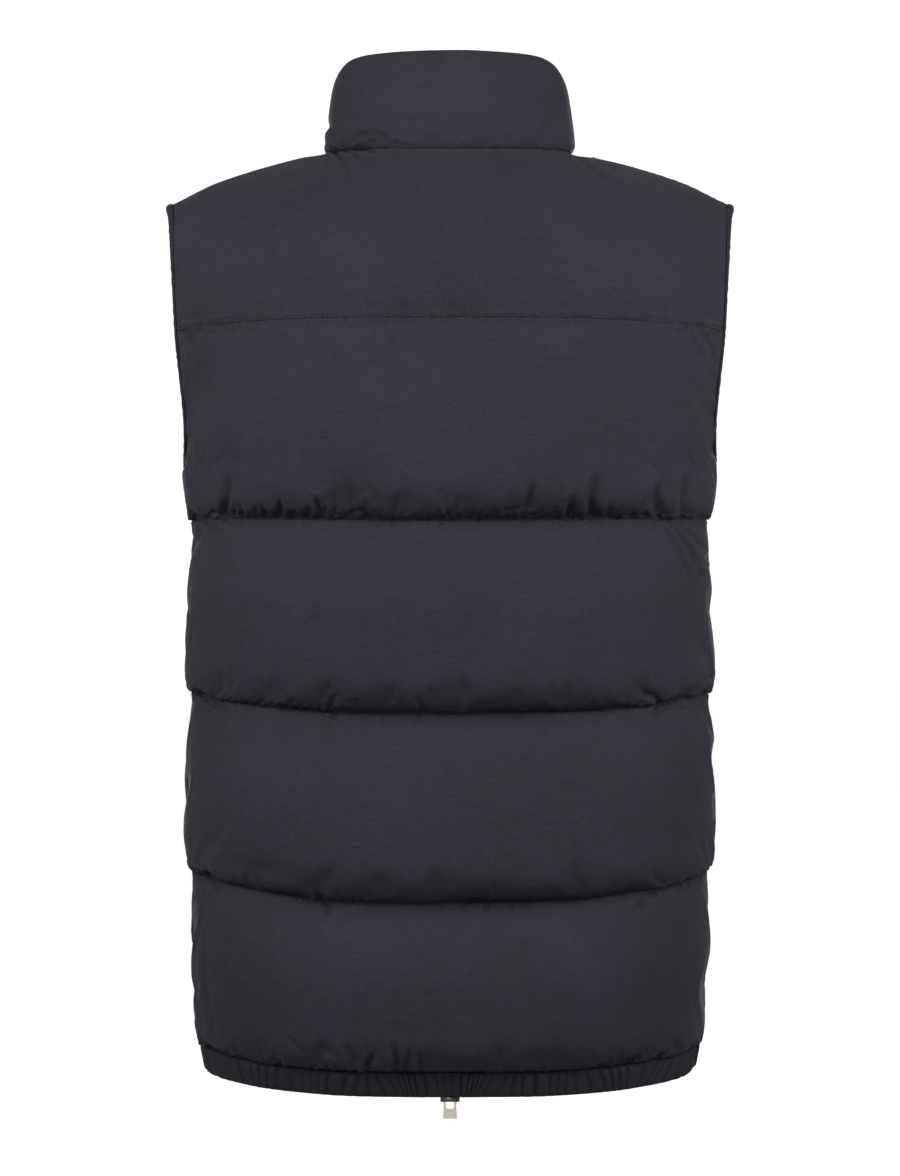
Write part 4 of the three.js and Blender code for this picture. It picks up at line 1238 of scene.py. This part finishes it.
def tape_grid(mirrored):
    steps = np.linalg.norm(np.diff(tape_points, axis=0), axis=1)
    along = np.concatenate([[0], np.cumsum(steps)])
    from_end = np.minimum(along, along[-1] - along)
    parted = TAPE_PARTED * np.clip((TAPE_PARTS_AT + 2 - from_end) / 2, 0, 1)
    rows = []
    for across, depth in tape_path:
        wave = 0.12 * wander(np.arange(len(tape_points)), 1.3 + mirrored, 7.0)
        point = tape_points + tape_out * (depth + wave)[:, None]
        point[:, 0] = mirrored * np.maximum(across, parted)
        rows.append(point)
    return np.array(rows)


for side, mirrored in (("left", 1), ("right", -1)):
    name = f"zip_tape_{side}"
    pieces[name] = sheet_object(f"{name}_woven", tape_grid(mirrored), TAPE_THICKNESS)
tape_length = float(np.linalg.norm(np.diff(tape_points, axis=0), axis=1).sum())
print("zip tape:", round(tape_length, 1), "mm long")

# %% [markdown]
# Moulded teeth are small blocks with a rounded head. Each is drawn once in a plane, then placed along
# the line, left and right in turn.

# %% Teeth
TOOTH_PITCH = 2.4
TOOTH_SIDE = [(-0.75, 0.42), (0.2, 0.75), (1.2, 0.5), (3.3, 0.62)]
TOOTH_OUTLINE = [(across, -along) for across, along in TOOTH_SIDE] + TOOTH_SIDE[::-1]
TOOTH_LAYERS = [(-1.2, 0.72), (-0.85, 1.0), (0.85, 1.0), (1.2, 0.72)]
TOOTH_MIDDLE = 1.3


def teeth_object():
    line = line_of_node("zip_chain")
    length = np.linalg.norm(np.diff(line, axis=0), axis=1).sum()
    count = int(length / TOOTH_PITCH) * 2
    spots, tangents, out = along_line(line, count + 2)
    spots, tangents, out = spots[1:-1], tangents[1:-1], out[1:-1]
    points, faces = [], []
    corners = len(TOOTH_OUTLINE)
    for k in range(len(spots)):
        side = 1 if k % 2 else -1
        first = len(points)
        for depth, scale in TOOTH_LAYERS:
            for across, along in TOOTH_OUTLINE:
                x = TOOTH_MIDDLE + (across - TOOTH_MIDDLE) * scale
                points.append(spots[k] + out[k] * depth + tangents[k] * along * scale + [side * x, 0, 0])
        ring = [[first + layer * corners + i for i in range(corners)] for layer in range(4)]
        block = [ring[0][::-1], ring[3]]
        for low, high in zip(ring[:-1], ring[1:]):
            turned = [(i, (i + 1) % corners) for i in range(corners)]
            block += [[low[i], low[j], high[j], high[i]] for i, j in turned]
        faces += [face[::-1] for face in block] if side < 0 else block
    print("zip teeth:", len(spots), "over", round(length), "mm")
    return new_mesh_object("zip_teeth", points, faces)


pieces["zip_chain"] = teeth_object()

# %% [markdown]
# ## Sliders and pull tabs
# They are die-cast metal, so their CAD shapes are right and only the edges are too sharp. A copy of
# each with a small bevel catches the light as a cast and tumbled part does.

# %% Metal pieces
CAST_EDGE = 0.22


def softened_copy(node, width):
    thing = bpy.data.objects.new(f"{node}_cast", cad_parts[node].data.copy())
    scene.collection.objects.link(thing)
    shape = bmesh.new()
    shape.from_mesh(thing.data)
    bmesh.ops.remove_doubles(shape, verts=shape.verts, dist=1e-6)
    bmesh.ops.dissolve_limit(shape, angle_limit=0.02, verts=shape.verts, edges=shape.edges)
    sharp = [e for e in shape.edges if len(e.link_faces) == 2 and e.calc_face_angle(0) > 0.6]
    bmesh.ops.bevel(shape, geom=sharp, offset=width * MM, segments=2, affect="EDGES", clamp_overlap=True)
    shape.to_mesh(thing.data)
    shape.free()
    thing.data.materials.clear()
    return thing


for node in ("zip_slider_bottom", "zip_slider_top", "zip_pull_bottom", "zip_pull_top"):
    pieces[node] = softened_copy(node, CAST_EDGE)
    print(node, "faces:", len(pieces[node].data.polygons))

# %% [markdown]
# ## Stitching
# A row of stitches holds each quilting line and the yoke seam. A stitch is a short thread, thick in the
# middle and drawn into the cloth at both ends. They are far too small to see one by one from three
# metres, but together they break up the edge of each channel, and up close the seam reads as sewn.

# %% Stitches
STITCH_PITCH = 3.2
STITCH_LENGTH = 2.5
THREAD = 0.32
THREAD_SIDES = 6
# share of the stitch's length, share of the thread's radius, height above the cloth
STITCH_SECTIONS = [(0, 0.35, -0.1), (0.2, 0.9, 0.12), (0.5, 1.0, 0.22), (0.8, 0.9, 0.12), (1, 0.35, -0.1)]


def stitches_object(name, lines):
    """One object with a thread at every step of the given lines; a line is (points, normals)."""
    points, faces = [], []
    sides = THREAD_SIDES
    for line, normals in lines:
        lengths = np.concatenate([[0], np.cumsum(np.linalg.norm(np.diff(line, axis=0), axis=1))])
        middles = np.arange(STITCH_PITCH, lengths[-1] - STITCH_PITCH, STITCH_PITCH)
        for k, middle in enumerate(middles):
            ends = []
            for shift in (-0.5, 0.5):
                at = middle + shift * STITCH_LENGTH
                ends.append(np.array([np.interp(at, lengths, line[:, i]) for i in range(3)]))
            up = unit(np.array([np.interp(middle, lengths, normals[:, i]) for i in range(3)]))
            way = unit(ends[1] - ends[0])
            cross = np.cross(way, up)
            first = len(points)
            for t, radius, lift in STITCH_SECTIONS:
                centre = ends[0] + (ends[1] - ends[0]) * t + up * lift
                centre = centre + cross * 0.12 * math.sin(1.7 * k)
                for i in range(sides):
                    turn = 2 * math.pi * i / sides
                    points.append(centre + THREAD * radius * (math.cos(turn) * up + math.sin(turn) * cross))
            for layer in range(4):
                for i in range(sides):
                    a, b = first + layer * sides + i, first + layer * sides + (i + 1) % sides
                    faces.append([a, b, b + sides, a + sides])
            faces.append([first + i for i in range(sides)][::-1])
            faces.append([first + 4 * sides + i for i in range(sides)])
    thing = new_mesh_object(name, points, faces)
    print(name, "stitches:", len(points) // (5 * sides))
    return smooth_shaded(thing)


def row_line(panel, row, shift=0.0):
    outer = panel["outer"]
    normals = grid_normals(outer)
    return outer[row] + normals[row] * shift, normals[row]


def quilt_lines(name, rows):
    return [row_line(panels[name], row, 0.1) for row in rows]


stitch_pieces = {
    "back_body": quilt_lines("back_body", panels["back_body"]["seams"][1:-1]),
    "back_yoke": [row_line(panels["back_yoke"], -3, 0.1)],
    "front_left": quilt_lines("front_left", panels["front_left"]["seams"][1:-1]),
    "front_right": quilt_lines("front_right", panels["front_right"]["seams"][1:-1]),
}
for name, lines in stitch_pieces.items():
    pieces[f"{name}_stitches"] = stitches_object(f"{name}_stitches", lines)

# %% [markdown]
# ## The nylon
# The shell is a thin, slightly crinkled nylon in a blue-black, soft and dull with a faint sheen where it
# turns away. Three scales of bump make it: the weave itself, short slubs that lie across the body, and
# a slow crinkle. Colour wanders very little, as dyed cloth does. Two things come from the mesh: fine
# puckers beside a seam, and painted shade, a darker colour at the bottom of creases, gathers and
# drawn-in edges, where light hardly reaches. No image is used, only noise and those values.

# %% Cloth material


def node_maker(material):
    tree = material.node_tree
    tree.nodes.clear()

    def add(kind, **values):
        node = tree.nodes.new(kind)
        for key, value in values.items():
            if key in node.inputs:
                node.inputs[key].default_value = value
            else:
                setattr(node, key, value)
        return node

    return tree, add


def srgb(red, green, blue):
    """A colour given as on a screen, 0 to 255, in the linear light that Blender uses."""
    linear = []
    for value in (red, green, blue):
        c = value / 255
        linear.append(c / 12.92 if c <= 0.04045 else ((c + 0.055) / 1.055) ** 2.4)
    return (*linear, 1.0)


def set_range(node, *values):
    """Sets a map range's limits: from, to, and what they become."""
    for key, value in zip(("From Min", "From Max", "To Min", "To Max"), values):
        node.inputs[key].default_value = value


# Bump depths, the reach of a drawn-in band's painted shade above its seam, and how far its edge wanders, in
# metres
CRINKLE_DEPTH = 0.0019
SLUB_DEPTH = 0.00035
WEAVE_DEPTH = 0.0006
PUCKER_DEPTH = 0.0022
BAND_EDGE = (0.0135, 0.0175)
BAND_WANDER = 0.012
# The painted shade at the bottom of a fold takes the cloth's dark colour down to this share of it
DEEPEST_PAINTED_SHADE = 0.3


def pucker_height(tree, add):
    """Short fine folds that stand on a seam, from the distances kept in the mesh."""
    link = tree.links.new
    total = None
    along = add("ShaderNodeAttribute", attribute_name="seam_along")
    for key, reach, squeeze in (("above", 0.008, 0.16), ("below", 0.005, 0.25)):
        gap = add("ShaderNodeAttribute", attribute_name=f"seam_{key}")
        place = add("ShaderNodeCombineXYZ")
        shorter = add("ShaderNodeMath", operation="MULTIPLY")
        shorter.inputs[1].default_value = squeeze
        link(gap.outputs["Fac"], shorter.inputs[0])
        link(along.outputs["Fac"], place.inputs["X"])
        link(shorter.outputs[0], place.inputs["Y"])
        folds = add("ShaderNodeTexNoise", Scale=330.0, Detail=2.0, Roughness=0.5)
        link(place.outputs["Vector"], folds.inputs["Vector"])
        fade = add("ShaderNodeMapRange", interpolation_type="SMOOTHSTEP")
        set_range(fade, 0.0, reach, 1.0, 0.0)
        link(gap.outputs["Fac"], fade.inputs["Value"])
        amount = add("ShaderNodeMath", operation="MULTIPLY")
        link(folds.outputs["Fac"], amount.inputs[0])
        link(fade.outputs["Result"], amount.inputs[1])
        if total:
            both = add("ShaderNodeMath", operation="ADD")
            link(total, both.inputs[0])
            link(amount.outputs[0], both.inputs[1])
            total = both.outputs[0]
        else:
            total = amount.outputs[0]
    return total


def painted_band_shade(tree, add, unevenness):
    """Painted shade where the cloth is pulled in under a channel's edge: 1 next to the seam below, with an
    uneven edge.
    """
    link = tree.links.new
    gap = add("ShaderNodeAttribute", attribute_name="seam_above")
    drawn = add("ShaderNodeAttribute", attribute_name="drawn")
    shifted = add("ShaderNodeMath", operation="MULTIPLY_ADD")
    shifted.inputs[1].default_value = BAND_WANDER
    link(unevenness, shifted.inputs[0])
    link(gap.outputs["Fac"], shifted.inputs[2])
    edge = add("ShaderNodeMapRange", interpolation_type="SMOOTHSTEP")
    set_range(edge, *BAND_EDGE, 1.0, 0.0)
    link(shifted.outputs[0], edge.inputs["Value"])
    band = add("ShaderNodeMath", operation="MULTIPLY")
    link(edge.outputs["Result"], band.inputs[0])
    link(drawn.outputs["Fac"], band.inputs[1])
    return band.outputs[0]


def cloth_material(name, dark, light, roughness, sheen, slub_strength, weave_strength, puckers=0.0):
    material = bpy.data.materials.new(name)
    material.use_nodes = True
    tree, add = node_maker(material)
    link = tree.links.new
    place = add("ShaderNodeTexCoord")
    shader = add("ShaderNodeBsdfPrincipled", Metallic=0.0)
    output = add("ShaderNodeOutputMaterial")
    link(shader.outputs["BSDF"], output.inputs["Surface"])

    def noise(scale, squeeze, detail, rough=0.55):
        mapping = add("ShaderNodeMapping")
        mapping.inputs["Scale"].default_value = squeeze
        link(place.outputs["Object"], mapping.inputs["Vector"])
        texture = add("ShaderNodeTexNoise", Scale=scale, Detail=detail, Roughness=rough)
        link(mapping.outputs["Vector"], texture.inputs["Vector"])
        return texture.outputs["Fac"]

    slow = noise(9, (1, 1, 1.3), 3)
    slub = noise(230, (0.5, 0.5, 3.2), 4, 0.65)
    crinkle = noise(95, (1, 1, 1), 5, 0.65)
    weave = noise(640, (1.6, 1.6, 0.7), 3, 0.6)
    colour = add("ShaderNodeMix", data_type="RGBA")
    colour.inputs["A"].default_value = dark
    colour.inputs["B"].default_value = light
    spread = add("ShaderNodeMapRange")
    set_range(spread, 0.36, 0.64, 0.0, 1.0)
    blend = add("ShaderNodeVectorMath", operation="DOT_PRODUCT")
    parts = add("ShaderNodeCombineXYZ")
    for socket, part in zip("XYZ", (slow, slub, weave)):
        link(part, parts.inputs[socket])
    link(parts.outputs["Vector"], blend.inputs[0])
    blend.inputs[1].default_value = (0.25, 0.35, 0.4)
    link(blend.outputs["Value"], spread.inputs["Value"])
    link(spread.outputs["Result"], colour.inputs["Factor"])
    # Painted shade: the colour goes towards a darker copy of the cloth's dark tone in creases, gathers and
    # drawn-in bands
    deep = add("ShaderNodeMix", data_type="RGBA")
    deep.inputs["B"].default_value = tuple(v * DEEPEST_PAINTED_SHADE for v in dark[:3]) + (1,)
    valley = add("ShaderNodeAttribute", attribute_name="valley")
    most_painted_shade = add("ShaderNodeMath", operation="MAXIMUM")
    link(valley.outputs["Fac"], most_painted_shade.inputs[0])
    link(painted_band_shade(tree, add, noise(60, (1, 1, 1), 3)), most_painted_shade.inputs[1])
    link(most_painted_shade.outputs[0], deep.inputs["Factor"])
    link(colour.outputs["Result"], deep.inputs["A"])
    link(deep.outputs["Result"], shader.inputs["Base Color"])
    rough = add("ShaderNodeMapRange")
    set_range(rough, 0.3, 0.7, roughness - 0.05, roughness + 0.05)
    link(crinkle, rough.inputs["Value"])
    link(rough.outputs["Result"], shader.inputs["Roughness"])
    bumps = [
        (crinkle, slub_strength, CRINKLE_DEPTH),
        (slub, slub_strength, SLUB_DEPTH),
        (weave, weave_strength, WEAVE_DEPTH),
    ]
    if puckers:
        bumps.append((pucker_height(tree, add), puckers, PUCKER_DEPTH))
    previous = None
    for height, strength, distance in bumps:
        bump = add("ShaderNodeBump", Strength=strength, Distance=distance)
        link(height, bump.inputs["Height"])
        if previous:
            link(previous.outputs["Normal"], bump.inputs["Normal"])
        previous = bump
    link(previous.outputs["Normal"], shader.inputs["Normal"])
    shader.inputs["Sheen Weight"].default_value = sheen
    shader.inputs["Sheen Roughness"].default_value = 0.45
    shader.inputs["Sheen Tint"].default_value = (0.8, 0.8, 0.85, 1)
    shader.inputs["Specular IOR Level"].default_value = 0.2
    return material


shell_cloth = cloth_material(
    "shell_cloth", srgb(22, 23, 31), srgb(37, 38, 47), 0.72, 0.04, 0.6, 1.0, puckers=1.0
)
trim_cloth = cloth_material("trim_cloth", srgb(24, 25, 30), srgb(31, 32, 38), 0.75, 0.02, 0.5, 0.6)

# %% [markdown]
# ## Tape, teeth, thread and metal
# The woven tape has fine ribs across it. Teeth are moulded plastic with a soft gloss, the thread is
# polyester with a twist, and the sliders are dark gunmetal, brighter where a thumb has rubbed them.

# %% Trim materials


def ribbed_material(name, colour, roughness, scale, direction, strength):
    material = bpy.data.materials.new(name)
    material.use_nodes = True
    tree, add = node_maker(material)
    link = tree.links.new
    place = add("ShaderNodeTexCoord")
    shader = add("ShaderNodeBsdfPrincipled", Roughness=roughness, Metallic=0.0)
    output = add("ShaderNodeOutputMaterial")
    wave = add("ShaderNodeTexWave", Scale=scale, Distortion=0.6, Detail=2.0)
    wave.bands_direction = direction
    wave.inputs["Detail Scale"].default_value = 2.0
    link(place.outputs["Object"], wave.inputs["Vector"])
    shade = add("ShaderNodeMix", data_type="RGBA")
    shade.inputs["A"].default_value = tuple(v * 0.7 for v in colour[:3]) + (1,)
    shade.inputs["B"].default_value = colour
    link(wave.outputs["Fac"], shade.inputs["Factor"])
    link(shade.outputs["Result"], shader.inputs["Base Color"])
    bump = add("ShaderNodeBump", Strength=strength, Distance=0.0002)
    link(wave.outputs["Fac"], bump.inputs["Height"])
    link(bump.outputs["Normal"], shader.inputs["Normal"])
    link(shader.outputs["BSDF"], output.inputs["Surface"])
    return material


def cast_material(name, dark, light, roughness, metallic, grain):
    material = bpy.data.materials.new(name)
    material.use_nodes = True
    tree, add = node_maker(material)
    link = tree.links.new
    place = add("ShaderNodeTexCoord")
    shader = add("ShaderNodeBsdfPrincipled", Metallic=metallic)
    output = add("ShaderNodeOutputMaterial")
    patches = add("ShaderNodeTexNoise", Scale=260.0, Detail=4.0, Roughness=0.6)
    link(place.outputs["Object"], patches.inputs["Vector"])
    colour = add("ShaderNodeMix", data_type="RGBA")
    colour.inputs["A"].default_value = dark
    colour.inputs["B"].default_value = light
    link(patches.outputs["Fac"], colour.inputs["Factor"])
    link(colour.outputs["Result"], shader.inputs["Base Color"])
    rough = add("ShaderNodeMapRange")
    rough.inputs["To Min"].default_value = roughness - 0.08
    rough.inputs["To Max"].default_value = roughness + 0.1
    link(patches.outputs["Fac"], rough.inputs["Value"])
    link(rough.outputs["Result"], shader.inputs["Roughness"])
    bump = add("ShaderNodeBump", Strength=grain, Distance=0.00008)
    link(patches.outputs["Fac"], bump.inputs["Height"])
    link(bump.outputs["Normal"], shader.inputs["Normal"])
    link(shader.outputs["BSDF"], output.inputs["Surface"])
    return material


zip_tape_cloth = ribbed_material("zip_tape_cloth", srgb(32, 33, 40), 0.8, 900, "Z", 0.6)
thread = ribbed_material("thread", srgb(17, 18, 23), 0.6, 1800, "X", 0.5)
moulded_teeth = cast_material("moulded_teeth", srgb(28, 29, 34), srgb(38, 39, 45), 0.38, 0.0, 0.3)
gunmetal = cast_material("gunmetal", srgb(104, 101, 95), srgb(140, 136, 128), 0.34, 1.0, 0.4)

# %% [markdown]
# ## Joining the looks to the frame
# Every piece rides on a body of the CAD model and stands for the node that it replaces.

# %% Ride and replace
FINISH = {
    "back_body": ("shell_cloth", shell_cloth), "back_yoke": ("shell_cloth", shell_cloth),
    "front_left": ("shell_cloth", shell_cloth), "front_right": ("shell_cloth", shell_cloth),
    "collar": ("shell_cloth", shell_cloth),
    "hem_back": ("trim_cloth", trim_cloth), "hem_front_left": ("trim_cloth", trim_cloth),
    "hem_front_right": ("trim_cloth", trim_cloth),
    "armhole_binding_left": ("trim_cloth", trim_cloth), "armhole_binding_right": ("trim_cloth", trim_cloth),
    "zip_tape_left": ("zip_tape", zip_tape_cloth), "zip_tape_right": ("zip_tape", zip_tape_cloth),
    "zip_chain": ("zip_teeth", moulded_teeth),
    "zip_slider_bottom": ("zip_metal", gunmetal), "zip_slider_top": ("zip_metal", gunmetal),
    "zip_pull_bottom": ("zip_metal", gunmetal), "zip_pull_top": ("zip_metal", gunmetal),
}
BODIES = {"zip_pull_bottom": "pull_bottom", "zip_pull_top": "pull_top"}
for name, piece in pieces.items():
    slot, material = FINISH.get(name, ("shell_cloth", thread))
    piece.data.materials.clear()
    piece.data.materials.append(material)
    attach(piece, BODIES.get(name, "vest"))
    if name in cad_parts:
        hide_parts(name)


def half_surface(piece):
    return sum(face.area for face in piece.data.polygons) / 2


HEM_CUT = {"hem_back": (0.58, 0.042), "hem_front_left": (0.31, 0.042), "hem_front_right": (0.31, 0.042)}
for name, cut in HEM_CUT.items():
    print(name, "cloth", round(half_surface(pieces[name]), 4), "cut", round(cut[0] * cut[1], 4))
BINDING_CUT = (0.52, 0.019)
TAPE_CUT = (0.0155, 0.765)
for side in ("left", "right"):
    for name, cut, held in (
        (f"armhole_binding_{side}", BINDING_CUT, "folded"),
        (f"zip_tape_{side}", TAPE_CUT, "stretched"),
    ):
        print(name, "cloth", round(half_surface(pieces[name]), 4), "cut", round(cut[0] * cut[1], 4))

# %% [markdown]
# ## Floor and light
# The photograph is a cut-out on white, lit softly from above and from the camera's side, with little
# light from below: that is why the undersides of the channels are dark. One wide lamp hangs over the
# camera and one stands on each side. Two small lamps close to the flanks leave them darker towards the
# hem, and a low weak one keeps the undersides from going black. The last lamp lights the front. The
# world is dim all round, and the pale floor is seen but throws no light back up.

# %% Studio
FLOOR_Z = -1.15
bpy.ops.mesh.primitive_plane_add(size=60, location=(0, 0, FLOOR_Z))
floor = bpy.context.object
floor.name = "floor"
pale = bpy.data.materials.new("pale_floor")
pale.use_nodes = True
pale.node_tree.nodes["Principled BSDF"].inputs["Base Color"].default_value = (0.93, 0.93, 0.93, 1)
pale.node_tree.nodes["Principled BSDF"].inputs["Roughness"].default_value = 0.9
pale.node_tree.nodes["Principled BSDF"].inputs["Emission Color"].default_value = (1, 1, 1, 1)
pale.node_tree.nodes["Principled BSDF"].inputs["Emission Strength"].default_value = 0.8
floor.data.materials.append(pale)

floor.visible_diffuse = False
floor.visible_glossy = False

SKY_DOWN = 0.29
SKY_LEVEL = 0.18
SKY_UP = 0.24
world = bpy.data.worlds.new("studio")
scene.world = world
world.use_nodes = True
tree, add = node_maker(world)
direction = add("ShaderNodeTexCoord")
parts = add("ShaderNodeSeparateXYZ")
ramp = add("ShaderNodeValToRGB")
ramp.color_ramp.elements[0].position = 0.4
ramp.color_ramp.elements[0].color = (SKY_DOWN, SKY_DOWN, SKY_DOWN, 1)
ramp.color_ramp.elements[1].position = 1.0
ramp.color_ramp.elements[1].color = (SKY_UP, SKY_UP, SKY_UP, 1)
level = ramp.color_ramp.elements.new(0.52)
level.color = (SKY_LEVEL, SKY_LEVEL, SKY_LEVEL, 1)
raised = add("ShaderNodeMapRange")
raised.inputs["From Min"].default_value = -1
seen = add("ShaderNodeLightPath")
light = add("ShaderNodeBackground", Strength=1.0)
white = add("ShaderNodeBackground", Strength=1.1)
white.inputs["Color"].default_value = (1, 1, 1, 1)
either = add("ShaderNodeMixShader")
sky = add("ShaderNodeOutputWorld")
link = tree.links.new
link(direction.outputs["Generated"], parts.inputs["Vector"])
link(parts.outputs["Z"], raised.inputs["Value"])
link(raised.outputs["Result"], ramp.inputs["Fac"])
link(ramp.outputs["Color"], light.inputs["Color"])
link(seen.outputs["Is Camera Ray"], either.inputs["Fac"])
link(light.outputs["Background"], either.inputs[1])
link(white.outputs["Background"], either.inputs[2])
link(either.outputs["Shader"], sky.inputs["Surface"])


def soft_lamp(name, location, target, size, power):
    data = bpy.data.lights.new(name, "AREA")
    data.shape = "RECTANGLE"
    data.size, data.size_y = size
    data.energy = power
    lamp = bpy.data.objects.new(name, data)
    lamp.location = location
    way = np.array(target) - np.array(location)
    lamp.rotation_euler = Vector(way).to_track_quat("-Z", "Y").to_euler()
    scene.collection.objects.link(lamp)
    return lamp


# place, the point it faces, width and height in metres, watts
LAMPS = {
    "key": ((0, 2.3, 1.0), (0, 0, -0.2), (1.4, 1.2), 26),
    "left_box": ((1.7, 1.2, 0.65), (0, 0, -0.1), (1.0, 1.2), 33),
    "right_box": ((-1.7, 1.2, 0.65), (0, 0, -0.1), (1.0, 1.2), 33),
    "left_flank": ((0.8, 0.4, 0.1), (0.2, 0, -0.3), (0.4, 0.4), 1.7),
    "right_flank": ((-0.8, 0.4, 0.1), (-0.2, 0, -0.3), (0.4, 0.4), 1.7),
    "low_fill": ((0, 2.4, -1.0), (0, 0, -0.5), (1.2, 0.4), 15),
    "front_fill": ((0, -3.0, -0.2), (0, 0, -0.4), (2.6, 1.8), 90),
}
for name, (location, target, size, power) in LAMPS.items():
    soft_lamp(name, location, target, size, power)
print("lamps:", ", ".join(LAMPS))
scene.view_settings.view_transform = "Standard"
